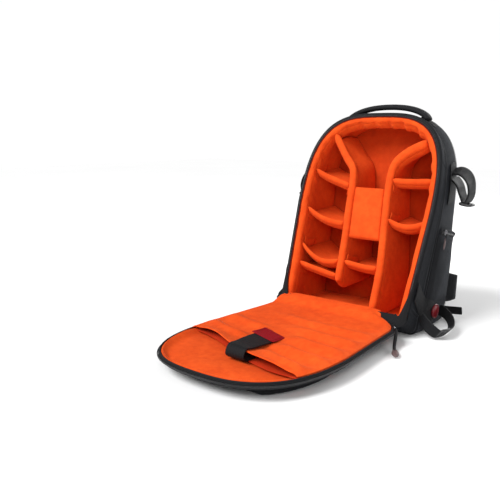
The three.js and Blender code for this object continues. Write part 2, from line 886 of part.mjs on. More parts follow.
// How far the pocket's face stands off the side
function pocketOut(share, h) {
  const across = Math.sin(((share - rearShare) / (noseStart - rearShare)) * Math.PI);
  const up = Math.sin(lerp(0.08, 0.94, (h - sidePocketBottom) / (sidePocketTop - sidePocketBottom)) * Math.PI);
  return sidePocketProud * lerp(sidePocketEdge, 1, across * up);
}

// Moulded pull on the pocket's zip
function pocketPull(sign) {
  const clear = pullThickness / 2 + seamGap;
  const at = (h) => skin(onSide(sign, sideAt(h, pullShare)), pullShare, pocketOut(pullShare, h) + clear);
  const path = [at(sidePocketTop - 4), at(sidePocketTop - 4 - pullLength)];
  return strap(path, new THREE.Vector3(0, 1, 0), pullWidth, pullThickness, 3, 0.4);
}

// Slider and rubber pull of the main zip: on edge along the flap's corner, then on the floor.
// u is the place along the flap's outline.
const mainPullRows = [
  { u: 1.5, out: 0, up: 1 },
  { u: 1.67, out: 0, up: 0.97 },
  { u: 1.83, out: 0.03, up: 0.78 },
  { u: 1.97, out: 0.2, up: 0.36 },
  { u: 2.06, out: 0.48, up: 0.06 },
  { u: 2.17, out: 1, up: 0 },
];

function mainZipPull() {
  const top = flapHeight - flapZipDrop - flapZipHeight / 2;
  const low = mainPullWidth / 2 + 4 * seamGap;
  const clear = flapZipProud + mainPullThickness / 2 + 2 * seamGap;
  const path = mainPullRows.map(({ u, out, up }) => (
    flapPoint(u, -clear - out * mainPullOut, lerp(low, top, up))));
  return strap(path, new THREE.Vector3(0, 0, 1), mainPullWidth, mainPullThickness, 14, 0.4);
}

// Handle that follows the top and rises in the middle
function topHandle() {
  const steps = 16;
  const top = sectionSize(handleShare).height;
  const topDepth = place(0, top, 0).y - place(0, top, 1).y;
  const half = handleWidth / 2 / topDepth;
  return sheet(steps + 1, 2, (i, j, side) => {
    const t = i / steps;
    const u = lerp(4 - handleSpan, 4 + handleSpan, t);
    const share = handleShare + (j === 0 ? -half : half);
    const rise = handleRise * smooth(Math.min(t, 1 - t) * 3.2);
    return skin(u, share, handleSeat + rise + (side === 0 ? 0 : handleThickness));
  });
}

// Upper webbing loop on a side, doubled through its buckle
const upperLoopRows = [
  { out: 0, down: 0 },
  { out: 0.42, down: -0.1 },
  { out: 0.82, down: 0.12 },
  { out: 1, down: 0.5 },
  { out: 0.98, down: 0.86 },
  { out: 0.72, down: 1 },
  { out: 0.4, down: 0.82 },
  { out: 0.035, down: 0.7 },
];

function upperLoopPoint(sign, out, h) {
  const p = skin(onSide(sign, sideAt(h, upperLoopShare)), upperLoopShare, 0);
  p.x += sign * out;
  return p;
}

function upperLoop(sign) {
  const path = upperLoopRows.map(({ out, down }) => {
    const clear = 2 * seamGap;
    return upperLoopPoint(sign, clear + out * upperLoopReach, upperLoopHeight - down * upperLoopDrop);
  });
  return strap(path, new THREE.Vector3(0, 1, 0), sideWebWidth, webThickness, 22);
}

function upperBuckle(sign) {
  const h = upperLoopHeight - upperLoopDrop - webThickness / 2 - buckleThickness / 2;
  const middleOut = upperLoopReach * 0.8;
  const from = upperLoopPoint(sign, middleOut - buckleLength / 2, h);
  const to = from.clone();
  to.x += sign * buckleLength;
  return strap([from, to], new THREE.Vector3(0, 1, 0), sideWebWidth + 6, buckleThickness, 2, 0.3);
}

// Lower webbing loop on a side, on edge, with its outer part on the floor
const lowerLoopRows = [
  { out: 0.03, along: 0, up: 1 },
  { out: 0.42, along: 0.1, up: 0.72 },
  { out: 0.78, along: 0.34, up: 0.02 },
  { out: 1, along: 0.66, up: 0 },
  { out: 1.04, along: 0.95, up: 0 },
  { out: 0.74, along: 1.27, up: 0 },
  { out: 0.37, along: 1.25, up: 0.6 },
  { out: 0.03, along: 1.1, up: 1 },
];

function lowerLoopPoint(sign, out, along, up) {
  const share = lerp(lowerLoopRear, lowerLoopFront, along);
  const rootShare = Math.min(share, lowerLoopFront);
  const p = skin(onSide(sign, sideAt(lowerLoopHeight, rootShare)), rootShare, 0);
  const base = place(0, 0, share);
  const low = lowerLoopWidth / 2 + lowerLoopFloor;
  return new THREE.Vector3(p.x + sign * out, base.y, lerp(low, lowerLoopHeight, up));
}

function lowerLoop(sign) {
  const clear = webThickness / 2 + 3 * seamGap;
  const path = lowerLoopRows.map(({ out, along, up }) => (
    lowerLoopPoint(sign, clear + out * lowerLoopReach, along, up)));
  return strap(path, new THREE.Vector3(0, 0, 1), lowerLoopWidth, webThickness, 24);
}

// Buckle on the outer face of the loop's front bend
function lowerBuckle(sign) {
  const clear = webThickness / 2 + 3 * seamGap;
  const [, , , , start, end] = lowerLoopRows;
  const from = lowerLoopPoint(sign, clear + start.out * lowerLoopReach, start.along, 0);
  const to = lowerLoopPoint(sign, clear + end.out * lowerLoopReach, end.along, 0);
  const direction = new THREE.Vector3().subVectors(to, from).normalize();
  const outward = new THREE.Vector3(-direction.y, direction.x, 0).multiplyScalar(sign);
  from.addScaledVector(outward, clear + buckleThickness / 2 + lowerBuckleClear);
  const tip = from.clone().addScaledVector(direction, buckleLength);
  return strap([from, tip], new THREE.Vector3(0, 0, 1), lowerLoopWidth, buckleThickness, 2, 0.3);
}

// Round bare badge on a side
function badge(sign) {
  const corners = 16;
  const ring = (out) => {
    const list = [];
    for (let k = 0; k < corners; k += 1) {
      const angle = (k / corners) * 2 * Math.PI;
      const share = badgeShare + (badgeRadius * Math.cos(angle)) / bodyDepth;
      const h = badgeHeight + badgeRadius * Math.sin(angle);
      const p = skin(onSide(sign, sideAt(badgeHeight, badgeShare)), share, 0);
      list.push(new THREE.Vector3(p.x + sign * out, place(0, h, share).y, place(0, h, share).z));
    }
    return list;
  };
  return loft([ring(3 * seamGap), ring(badgeThickness)], false);
}

// Shoulder pad: over the top of the back, bulging and down again
const padRows = [
  { down: 0.03, out: 0, aside: 0 },
  { down: -0.05, out: 0.12, aside: 0 },
  { down: -0.08, out: 0.5, aside: 0 },
  { down: 0.02, out: 0.86, aside: 0.02 },
  { down: 0.25, out: 1, aside: 0.1 },
  { down: 0.5, out: 0.98, aside: 0.3 },
  { down: 0.78, out: 0.66, aside: 0.62 },
  { down: 1, out: 0.22, aside: 0.86 },
];

function padPoint(sign, { down, out, aside }) {
  const clear = strapPadThickness / 2 + 3 * seamGap;
  const x = lerp(strapSpread, harnessWebSpread, aside * 0.5);
  return behind(sign * x, strapTopHeight - down * strapPadDrop, clear + out * strapBulge);
}

function shoulderPad(sign) {
  const path = padRows.map((row) => padPoint(sign, row));
  return strap(path, new THREE.Vector3(1, 0, 0), strapPadWidth, strapPadThickness, 20, 0.45);
}

// Webbing from the pad's end to the foot of the back
function harnessWeb(sign) {
  const end = padPoint(sign, padRows[padRows.length - 1]);
  const before = padPoint(sign, padRows[padRows.length - 2]);
  const direction = new THREE.Vector3().subVectors(end, before).normalize();
  const start = end.clone().addScaledVector(direction, 2 * seamGap);
  const foot = behind(sign * harnessWebSpread, wingTop + harnessWebFoot, webThickness / 2 + 3 * seamGap);
  const overHeight = wingTop + harnessWebFoot + harnessWebWidth / 2;
  const over = behind(sign * harnessWebSpread * 0.98, overHeight, webThickness * 1.5);
  const path = [start, start.clone().addScaledVector(direction, adjusterLength), over, foot];
  return strap(path, new THREE.Vector3(1, 0, 0), harnessWebWidth, webThickness, 10);
}

function adjuster(sign) {
  const end = padPoint(sign, padRows[padRows.length - 1]);
  const before = padPoint(sign, padRows[padRows.length - 2]);
  const direction = new THREE.Vector3().subVectors(end, before).normalize();
  const outward = new THREE.Vector3(0, 1, 0).addScaledVector(direction, -direction.y).normalize();
  const start = end.clone().addScaledVector(direction, 2 * seamGap + 2);
  start.addScaledVector(outward, webThickness / 2 + adjusterThickness / 2 + 2 * seamGap);
  const path = [start, start.clone().addScaledVector(direction, adjusterLength)];
  return strap(path, new THREE.Vector3(1, 0, 0), harnessWebWidth + 10, adjusterThickness, 2, 0.3);
}

// Webbing from the top edge of the back to the pad's upper face
function loadLifter(sign) {
  const clear = strapPadThickness + webThickness / 2 + 4 * seamGap;
  const over = webThickness / 2 + 4 * seamGap;
  const path = [
    behind(sign * strapSpread, strapTopHeight + strapOverTop + lifterRise, over),
    behind(sign * strapSpread, strapTopHeight + strapOverTop + 1.33 * lifterRise, strapBulge * 0.35),
    behind(sign * strapSpread, strapTopHeight - strapPadDrop * 0.02 + lifterRise, clear + strapBulge * 0.9),
    behind(sign * strapSpread, strapTopHeight - strapPadDrop * 0.16, clear + strapBulge * 0.97),
  ];
  return strap(path, new THREE.Vector3(1, 0, 0), lifterWidth, webThickness, 10);
}

// Webbing between the two shoulder pads, with a closed buckle in the middle
function sternumStrap() {
  const h = strapTopHeight - sternumDrop * strapPadDrop;
  const out = strapBulge + strapPadThickness + webThickness / 2 + sternumClear;
  const edge = strapSpread + strapPadWidth / 4;
  const path = [
    behind(-edge, h, out),
    behind(-edge / 2, h - 6, out + 2),
    behind(0, h - 9, out + 2),
    behind(edge / 2, h - 6, out + 2),
    behind(edge, h, out),
  ];
  return strap(path, new THREE.Vector3(0, 0, 1), lifterWidth, webThickness, 12);
}

function sternumBuckle() {
  const h = strapTopHeight - sternumDrop * strapPadDrop - 9;
  const out = strapBulge + strapPadThickness + webThickness + buckleThickness / 2 + 2
    + sternumClear + seamGap;
  const path = [behind(-buckleLength / 2, h, out), behind(buckleLength / 2, h, out)];
  return strap(path, new THREE.Vector3(0, 0, 1), lifterWidth + 6, buckleThickness, 2, 0.3);
}

// Padded wing of the waist belt, folded forward past the side
function waistWing(sign) {
  const rows = 6;
  return sheet(rows + 1, 3, (i, j, side) => {
    const t = i / rows;
    const x = lerp(wingInner, wingOuter, t);
    const narrow = smooth((t - 0.4) / 0.6) * 0.14;
    const h = lerp(lerp(wingBottom, wingTop, narrow), lerp(wingTop, wingBottom, narrow), j / 2);
    const wrap = 4 * t * (1 - t) * 4 - 5 * t * t;
    const thickness = side === 0 ? 0 : wingThickness * (j === 1 ? 1 : 0.8);
    return behind(sign * x, h, 3 * seamGap + Math.max(wrap, -5) + 5 * t + thickness);
  });
}

// Webbing end at the foot of the back, pointing outwards
function beltWeb(sign) {
  const clear = webThickness / 2 + 3 * seamGap;
  const root = wingOuter + 10 - beltWebLength;
  const path = [
    behind(sign * root, beltWebHeight, clear),
    behind(sign * (root + beltWebLength * 0.35), beltWebHeight, clear + 0.5),
    behind(sign * (root + beltWebLength * 0.7), beltWebHeight - 3, clear + 4),
    behind(sign * (root + beltWebLength), beltWebHeight - 6, clear + 2),
  ];
  return strap(path, new THREE.Vector3(0, 0, 1), beltWebWidth, webThickness, 8);
}

bag.add(outerShell(), liner(), interior(), flap());
add(bag, 'opening_rim', openingRim(), cloth.web);
add(bag, 'sleeve_strap', sleeveStrap(), cloth.web);
add(bag, 'sleeve_tab', sleeveTab(), cloth.red);
add(bag, 'main_zip_pull', mainZipPull(), cloth.rubber);
add(bag, 'top_handle', topHandle(), cloth.web);
add(bag, 'sternum_strap', sternumStrap(), cloth.web);
add(bag, 'sternum_buckle', sternumBuckle(), cloth.plastic);
for (const { word, sign } of sides) {
  add(bag, `side_pocket_${word}`, sidePocket(sign), cloth.black);
  add(bag, `pocket_pull_${word}`, pocketPull(sign), cloth.rubber);
  add(bag, `upper_strap_${word}`, upperLoop(sign), cloth.web);
  add(bag, `upper_buckle_${word}`, upperBuckle(sign), cloth.plastic);
  add(bag, `lower_strap_${word}`, lowerLoop(sign), cloth.web);
  add(bag, `lower_buckle_${word}`, lowerBuckle(sign), cloth.plastic);
  add(bag, `badge_${word}`, badge(sign), cloth.red);
  add(bag, `shoulder_pad_${word}`, shoulderPad(sign), cloth.black);
  add(bag, `harness_web_${word}`, harnessWeb(sign), cloth.web);
  add(bag, `adjuster_${word}`, adjuster(sign), cloth.plastic);
  add(bag, `load_lifter_${word}`, loadLifter(sign), cloth.web);
  add(bag, `waist_wing_${word}`, waistWing(sign), cloth.black);
  add(bag, `belt_web_${word}`, beltWeb(sign), cloth.web);
}

export default bag;
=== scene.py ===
"""Looks of the open camera backpack: cloth, padding, webbing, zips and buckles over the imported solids."""
from math import cos, exp, hypot, pi, radians, sin, sqrt

import bmesh
import bpy
import numpy as np
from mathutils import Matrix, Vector, noise


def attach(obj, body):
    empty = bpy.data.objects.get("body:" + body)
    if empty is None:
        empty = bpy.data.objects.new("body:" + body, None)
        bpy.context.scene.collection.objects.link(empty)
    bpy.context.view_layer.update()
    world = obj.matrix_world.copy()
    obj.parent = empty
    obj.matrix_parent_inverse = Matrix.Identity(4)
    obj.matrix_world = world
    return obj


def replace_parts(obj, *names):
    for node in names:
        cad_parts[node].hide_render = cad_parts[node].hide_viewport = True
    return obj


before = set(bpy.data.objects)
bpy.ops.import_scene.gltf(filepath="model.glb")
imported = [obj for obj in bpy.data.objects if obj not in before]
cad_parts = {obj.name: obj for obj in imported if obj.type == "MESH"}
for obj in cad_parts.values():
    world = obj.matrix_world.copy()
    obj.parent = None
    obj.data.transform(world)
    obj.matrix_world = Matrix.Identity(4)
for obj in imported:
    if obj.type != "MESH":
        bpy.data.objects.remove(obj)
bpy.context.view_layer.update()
scene = bpy.context.scene
scene.view_settings.view_transform = "Standard"
MM = 0.001

# Main sizes in millimetres, the same as the solids have.
# A share is a depth in the bag, from 0 at the back to 1 at the front.
OPENING_WIDTH, OPENING_HEIGHT = 340, 462
FOOT_WIDTH, BASE_WIDTH = 314, 348
SIDE_BULGE, SHOULDER_HEIGHT, ARCH_POWER = 5, 246, 3.16
FRONT_FOOT, BACK_FOOT = 76, 122
FRONT_LEAN, BACK_LEAN = 20, 6
NOSE_LIFT, NOSE_SHARE = 26, 0.22
REAR_NARROWING, REAR_DROP, TOP_DOME = 10, 18, 14
REAR_ROUNDING, FOOT_CORNER, SHARPEST = 28, 18, 3
SHELL_WALL, SEAM_GAP, PLATE_CLEARANCE = 2.5, 0.3, 1.6
LINER, LINER_BACK, BACK_PAD = 20, 12, 14
DIVIDER, SHELF, CENTRE_PAD = 17, 11, 10
LINER_FRONT, DIVIDER_FRONT, SHELF_FRONT = 0.999, 0.955, 0.93
LINER_CREASE, DIVIDER_CREASE, SHELF_CREASE, HELD_DEPTH = 13.5, 13.5, 9.5, 120
FLAP_LENGTH, FLAP_CORNER, FLAP_POWER, FLAP_TOP = 452, 64, 2.7, 34
FLAP_WALL, FLAP_POCKET, FLAP_FLOOR = 3, 18.6, 3
LINING_DIP, HINGE_RISE, MOUTH_FAR, MOUTH_NEAR = 7, 11, 285, 366
POCKET_START, POCKET_MARGIN, POCKET_END, POCKET_SPLIT, POCKET_GAP = 42, 22, 50, 248, 14
FLAP_ZIP_HEIGHT, FLAP_ZIP_DROP = 8, 3
BODY_DEPTH = FRONT_FOOT + BACK_FOOT
REAR_SHARE = REAR_ROUNDING / BODY_DEPTH
RIM_SHARE = 0.982
NOSE_START = 1 - NOSE_SHARE
INNER_INSET = SHELL_WALL + SEAM_GAP + LINER
FLAP_HINGE = FRONT_FOOT + 2
FLAP_BOTTOM = FLAP_POCKET + SEAM_GAP
WEB = 2.4
SIDES = ((1, "right"), (-1, "left"))


def vec(x, y, z):
    return np.array((x, y, z), float)


UP = vec(0, 0, 1)


def lerp(a, b, t):
    return a + (b - a) * t


def smooth(t):
    c = min(1.0, max(0.0, t))
    return c * c * (3 - 2 * c)


def bell(x, width):
    return exp(-((x / width) ** 2))


def wob(x, y, z, seed=0.0):
    """Smooth noise between about -1 and 1."""
    return noise.noise(Vector((x, y, z + 17.3 * seed)))


def unit(v):
    n = np.linalg.norm(v)
    return v / n if n > 1e-9 else v


# The bag's form
def section_size(share):
    grow = 4 * share * (1 - share)
    to_rim = smooth((share - 1 + 2 * NOSE_SHARE) / (2 * NOSE_SHARE))
    return (
        lerp(OPENING_WIDTH / 2 - REAR_NARROWING, OPENING_WIDTH / 2, share) + SIDE_BULGE * grow,
        lerp(BASE_WIDTH / 2 - REAR_NARROWING * (1 - share), FOOT_WIDTH / 2, to_rim),
        lerp(OPENING_HEIGHT - REAR_DROP, OPENING_HEIGHT, share) + TOP_DOME * grow,
        FOOT_CORNER, ARCH_POWER, 0.0,
    )


def inset_size(size, inset):
    half, foot, height, corner, power, floor = size
    return half - inset, foot - inset, height - inset, max(corner - inset, SHARPEST), power, floor + inset


def outline_point(size, u):
    """u runs 0 bottom centre, 1-2 lower right corner, 2-3 side, 3-5 arch, 5-6 side, 6-7 corner, 8 bottom."""
    if u < 0:
        x, h = outline_point(size, -u)
        return -x, h
    if u > 4:
        x, h = outline_point(size, 8 - u)
        return -x, h
    half, foot, height, corner, power, floor = size
    if u <= 1:
        return u * (foot - corner), floor
    if u <= 2:
        turn = (u - 1) * pi / 2
        return foot - corner * (1 - sin(turn)), floor + corner * (1 - cos(turn))
    if u <= 3:
        return lerp(foot, half, u - 2), lerp(floor + corner, SHOULDER_HEIGHT, u - 2)
    turn = (u - 3) * pi / 2
    c, s = max(0.0, cos(turn)), sin(turn)
    far = (c ** power + s ** power) ** (1 / power)
    return half * c / far, SHOULDER_HEIGHT + (height - SHOULDER_HEIGHT) * s / far


def half_at(size, h):
    """Half width of an outline at a height."""
    half, foot, height, corner, power, floor = size
    if h <= floor:
        return max(1.0, foot - corner)
    if h < floor + corner:
        c = 1 - (h - floor) / corner
        return foot - corner * (1 - sqrt(max(0.0, 1 - c * c)))
    if h < SHOULDER_HEIGHT:
        return lerp(foot, half, (h - floor - corner) / (SHOULDER_HEIGHT - floor - corner))
    q = min(1.0, (h - SHOULDER_HEIGHT) / (height - SHOULDER_HEIGHT))
    return half * max(1e-4, 1 - q ** power) ** (1 / power)


def place(x, h, share):
    lean = radians(lerp(BACK_LEAN, FRONT_LEAN, share))
    foot = lerp(BACK_FOOT, -FRONT_FOOT, share)
    lift = NOSE_LIFT * smooth((share - 1 + NOSE_SHARE) / NOSE_SHARE)
    return vec(x, foot + h * sin(lean), lift + h * cos(lean))


def rear_inset(share):
    if share >= REAR_SHARE:
        return 0.0
    t = (REAR_SHARE - share) / REAR_SHARE
    return REAR_ROUNDING * (1 - sqrt(max(0.0, 1 - t * t)))


def skin(u, share, out):
    x, h = outline_point(inset_size(section_size(share), rear_inset(share) - out), u)
    return place(x, h, share)


def side_face(sign, share, h, out):
    """Point on the right or left side at a height, and out from it."""
    low, high = 2.0, 4.0
    size = section_size(share)
    for _ in range(26):
        mid = (low + high) / 2
        if outline_point(size, mid)[1] < h:
            low = mid
        else:
            high = mid
    return skin(low if sign > 0 else 8 - low, share, out)


def behind(x, h, out):
    p = place(x, h, -BACK_PAD / BODY_DEPTH / 2)
    p[1] += out
    return p


def flap_at(x, d, z):
    """Point over the open flap, at a distance d from its hinge."""
    return vec(x, -FLAP_HINGE - d, z)


# Stations, curves and rings
def edge_steps(length, count, radius):
    """Shares from 0 to 1, closer together near the ends, where an edge is rounded."""
    near = [0, 0.12 * radius, 0.42 * radius, radius]
    far = [length - d for d in reversed(near)]
    middle = list(np.linspace(near[-1], far[0], max(2, count))[1:-1])
    return np.array(near + middle + far) / length


def edged(values, start_rate, end_rate, radius=1.3):
    """Adds stations close to both ends; the rates are shares for each millimetre there."""
    values = list(values)
    near = [0.15, 0.5, 1.0]
    head = [values[0] + start_rate * radius * k for k in near] if start_rate else []
    tail = [values[-1] - end_rate * radius * k for k in reversed(near)] if end_rate else []
    low = head[-1] if head else values[0]
    high = tail[0] if tail else values[-1]
    inner = [v for v in values[1:-1] if low + 1e-6 < v < high - 1e-6]
    return np.array([values[0]] + head + inner + tail + [values[-1]])


def with_marks(values, marks, offsets):
    """Adds stations round each mark, and drops others that fall among them."""
    widest = max(abs(d) for d in offsets)
    kept = [v for v in values if all(abs(v - m) > widest for m in marks)]
    return np.array(sorted(kept + [m + d for m in marks for d in offsets]))


def round_us(*counts):
    """Stations once round an outline, with a count for each of its seven stretches."""
    ends = (0, 1, 2, 3, 5, 6, 7, 8)
    return np.concatenate([np.linspace(a, b, n)[:-1] for a, b, n in zip(ends, ends[1:], counts)])


def lengths(points):
    """Distance along a line of points, at each of them."""
    return np.concatenate(([0], np.cumsum(np.linalg.norm(np.diff(np.asarray(points), axis=0), axis=1))))


def resample(at, marks, table):
    return np.array([np.interp(at, marks, table[:, k]) for k in range(3)]).T


def curve_points(points, steps, fineness=24):
    """Centripetal curve through the points, sampled evenly along its length."""
    pts = [np.array(p, float) for p in points]
    ext = [2 * pts[0] - pts[1], *pts, 2 * pts[-1] - pts[-2]]
    fine = []
    for i in range(1, len(ext) - 2):
        p0, p1, p2, p3 = ext[i - 1:i + 3]
        d0, d1, d2 = (max(np.linalg.norm(b - a) ** 0.5, 1e-4) for a, b in ((p0, p1), (p1, p2), (p2, p3)))
        t1 = ((p1 - p0) / d0 - (p2 - p0) / (d0 + d1) + (p2 - p1) / d1) * d1
        t2 = ((p2 - p1) / d1 - (p3 - p1) / (d1 + d2) + (p3 - p2) / d2) * d1
        c2 = -3 * p1 + 3 * p2 - 2 * t1 - t2
        c3 = 2 * p1 - 2 * p2 + t1 + t2
        fine += [p1 + t1 * t + c2 * t * t + c3 * t ** 3 for t in (k / fineness for k in range(fineness))]
    fine = np.array(fine + [ext[-2]])
    along = lengths(fine)
    return resample(np.linspace(0, along[-1], steps + 1), along, fine), along[-1]


def tangents(pts):
    last = len(pts) - 1
    return np.array([unit(pts[min(i + 1, last)] - pts[max(i - 1, 0)]) for i in range(len(pts))])


def turns(count):
    """Angles once round."""
    return np.linspace(0, 2 * pi, count + 1)[:-1]


def oval(centre, a, b, count):
    """Ring round a centre from its two half axes."""
    return [centre + a * cos(q) + b * sin(q) for q in turns(count)]


def squircle(count, power):
    """Points once round a rounded square that reaches 1 each way."""
    points = []
    for a in turns(count):
        c, s = cos(a), sin(a)
        r = (abs(c) ** power + abs(s) ** power) ** (-1 / power)
        points.append((c * r, s * r))
    return points


# Meshes
SLOT_OF = {}


def make_object(name, points, faces, material, slot=None, uvs=None, node=None, levels=0):
    """A piece from points in millimetres. uvs are one pair of metres for each point.
    node names the CAD nodes that it stands for."""
    mesh = bpy.data.meshes.new(name)
    mesh.from_pydata([tuple(p * MM) for p in np.asarray(points, float)], [], faces)
    mesh.validate()
    if uvs is not None:
        layer = mesh.uv_layers.new(name="cloth")
        index = np.zeros(len(mesh.loops), np.int64)
        mesh.loops.foreach_get("vertex_index", index)
        layer.data.foreach_set("uv", np.asarray(uvs, float)[index].astype(np.float32).ravel())
    mesh.polygons.foreach_set("use_smooth", [True] * len(mesh.polygons))
    mesh.materials.append(material)
    bm = bmesh.new()
    bm.from_mesh(mesh)
    bmesh.ops.recalc_face_normals(bm, faces=bm.faces)
    bm.to_mesh(mesh)
    bm.free()
    o = bpy.data.objects.new(name, mesh)
    scene.collection.objects.link(o)
    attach(o, "root")
    slot or SLOT_OF[material.name]
    if levels:
        m = o.modifiers.new("smooth", "SUBSURF")
        m.levels = m.render_levels = levels
    if node:
        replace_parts(o, *([node] if isinstance(node, str) else node))
    return o


def slab(name, layer, su, sv, thick, material, radius=None, closed=False, open_back=False, **more):
    """Padded or cloth sheet. layer(s, t, h) gives the point at height h through its thickness.
    su and sv are its stations, or what edge_steps needs. Its edges are rounded over radius. closed joins its
    ends in s, and open_back leaves t = 0 unrounded."""
    su, sv = (edge_steps(*line) if isinstance(line, tuple) else line for line in (su, sv))
    radius = radius or thick / 2
    nu, nv = len(su), len(sv)
    mid = np.array([[layer(s, t, thick / 2) for t in sv] for s in su])
    du = np.linalg.norm(np.diff(mid, axis=0), axis=2)
    dv = np.linalg.norm(np.diff(mid, axis=1), axis=2)
    lu = np.concatenate((np.zeros((1, nv)), np.cumsum(du, axis=0)))
    lv = np.concatenate((np.zeros((nu, 1)), np.cumsum(dv, axis=1)), axis=1)
    points = np.zeros((nu, nv, 2, 3))
    for i, s in enumerate(su):
        for j, t in enumerate(sv):
            near = [] if open_back else [lv[i, j]]
            near.append(lv[i, -1] - lv[i, j])
            if not closed:
                near += [lu[i, j], lu[-1, j] - lu[i, j]]
            half = thick / 2
            for d in near:
                if d < radius:
                    half *= max(0.1, sqrt(max(0.0, 1 - (1 - d / radius) ** 2)))
            points[i, j] = layer(s, t, thick / 2 + half), layer(s, t, thick / 2 - half)

    def face(*corners):
        faces.append(tuple(((i % nu) * nv + j) * 2 + side for i, j, side in corners))
    faces = []
    last = nv - 1
    for i in range(nu if closed else nu - 1):
        for j in range(last):
            face((i, j, 0), (i + 1, j, 0), (i + 1, j + 1, 0), (i, j + 1, 0))
            face((i, j, 1), (i, j + 1, 1), (i + 1, j + 1, 1), (i + 1, j, 1))
        face((i, 0, 0), (i, 0, 1), (i + 1, 0, 1), (i + 1, 0, 0))
        face((i, last, 0), (i + 1, last, 0), (i + 1, last, 1), (i, last, 1))
    if not closed:
        end = nu - 1
        for j in range(last):
            face((0, j, 0), (0, j + 1, 0), (0, j + 1, 1), (0, j, 1))
            face((end, j, 0), (end, j, 1), (end, j + 1, 1), (end, j + 1, 0))
    uv = np.zeros((nu, nv, 2, 2))
    uv[:, :, :, 0] = (lu * MM)[:, :, None]
    uv[:, :, :, 1] = (lv * MM)[:, :, None]
    return make_object(name, points.reshape(-1, 3), faces, material, uvs=uv.reshape(-1, 2), levels=1, **more)


def tube(name, rings, material, closed=False, levels=1, **more):
    """Rings of equal count joined in order, with capped ends unless closed."""
    rings = np.asarray(rings, float)
    n, count = rings.shape[:2]
    faces = []
    for r in range(n if closed else n - 1):
        nxt = (r + 1) % n
        for k in range(count):
            k2 = (k + 1) % count
            faces.append((r * count + k, r * count + k2, nxt * count + k2, nxt * count + k))
    if not closed:
        faces.append(tuple(range(count)))
        faces.append(tuple((n - 1) * count + k for k in reversed(range(count))))
    return make_object(name, rings.reshape(-1, 3), faces, material, levels=levels, **more)


def loft(name, us, ring_at, material, step=None, **more):
    """Tube with the ring ring_at(u) at each station. step is the cloth's width from one point to the next."""
    rings, uvs, along = [], [], 0.0
    for u in us:
        ring = ring_at(u)
        if rings:
            along += np.linalg.norm(ring[0] - rings[-1][0])
        rings.append(ring)
        widths = [k * step for k in range(len(ring))] if step else lengths(ring)
        uvs += [(along * MM, w * MM) for w in widths]
    return tube(name, rings, material, uvs=uvs, **more)


def band_profile(width, thick, crown=0.0):
    """Section of a flat band with rounded edges: offsets across and through it."""
    a, b = width / 2, thick / 2
    top = [(-a + b, b), (-a * 0.5, b + crown * 0.75), (0, b + crown), (a * 0.5, b + crown * 0.75), (a - b, b)]
    right = [(a - b * 0.3, b * 0.72), (a, 0), (a - b * 0.3, -b * 0.72)]
    return top + right + [(x, -z) for x, z in reversed(top)] + [(-x, z) for x, z in reversed(right)]


def ribbon(name, path, across, width, thick, steps, material, crown=0.0, sag=0.0, **more):
    """Strap along a curve. across is its width direction, or one such direction for each given point."""
    pts, length = curve_points(path, steps)
    tang = tangents(pts)
    profile = band_profile(width, thick, crown)
    across = np.atleast_2d(np.asarray(across, float))
    across = resample(np.linspace(0, 1, steps + 1), np.linspace(0, 1, len(across)), across)
    rings, uvs = [], []
    for i, (p, t, w) in enumerate(zip(pts, tang, across)):
        wide = unit(w - t * np.dot(w, t))
        thin = np.cross(t, wide)
        ripple = sag * wob(*(p * 0.03), 3)
        rings.append([p + wide * a + thin * (b + ripple) for a, b in profile])
        uvs += [(i / steps * length * MM, a * MM) for a, b in profile]
    return tube(name, rings, material, uvs=uvs, **more)


def blocks(name, spots, material, slot=None):
    """Many small bevelled blocks as one mesh. Each spot is (centre, x axis, y axis, z axis, sizes)."""
    points, faces = [], []
    for c, ax, ay, az, (sx, sy, sz) in spots:
        base = len(points)
        for z, k in ((-1, 0.72), (-0.45, 1), (0.45, 1), (1, 0.72)):
            for x, y in ((-1, -1), (1, -1), (1, 1), (-1, 1)):
                points.append(c + ax * (x * sx / 2 * k) + ay * (y * sy / 2 * k) + az * (z * sz / 2))
        for r in range(base, base + 12, 4):
            faces += [(r + q, r + (q + 1) % 4, r + 4 + (q + 1) % 4, r + 4 + q) for q in range(4)]
        faces.append((base + 3, base + 2, base + 1, base))
        faces.append((base + 12, base + 13, base + 14, base + 15))
    return make_object(name, points, faces, material, slot)


def stations(path, normals, pitch):
    """Places a pitch apart along a line: the point, and the directions along, sideways and outwards."""
    pts, nor = np.asarray(path, float), np.asarray(normals, float)
    along = lengths(pts)
    for k in range(int(along[-1] / pitch)):
        a = (k + 0.5) * pitch
        n = unit(resample(a, along, nor))
        d = unit(resample(a + 1, along, pts) - resample(a - 1, along, pts))
        yield resample(a, along, pts), d, unit(np.cross(n, d)), n


def stitch_spots(path, normals, pitch=4.2, length=3.0, thick=0.7):
    """Stitches along a line of points."""
    return [(p, d, side, unit(np.cross(d, side)), (length, thick, thick * 0.8))
            for p, d, side, n in stations(path, normals, pitch)]


def coil_spots(path, normals, wide, pitch=2.1, tall=1.9):
    """Teeth of a closed-coil zip along a line of points."""
    lean, size = 0.22, (pitch * 0.72, wide, tall)
    return [(p + n * (tall * 0.3), unit(d + side * lean), unit(side - d * lean), n, size)
            for p, d, side, n in stations(path, normals, pitch)]


def merge(name, objs):
    """Joins pieces that share one material and slot into the first one."""
    bm = bmesh.new()
    for o in objs:
        bm.from_mesh(o.data)
    bm.to_mesh(objs[0].data)
    bm.free()
    for o in objs[1:]:
        bpy.data.objects.remove(o)
    objs[0].name = name
    return objs[0]


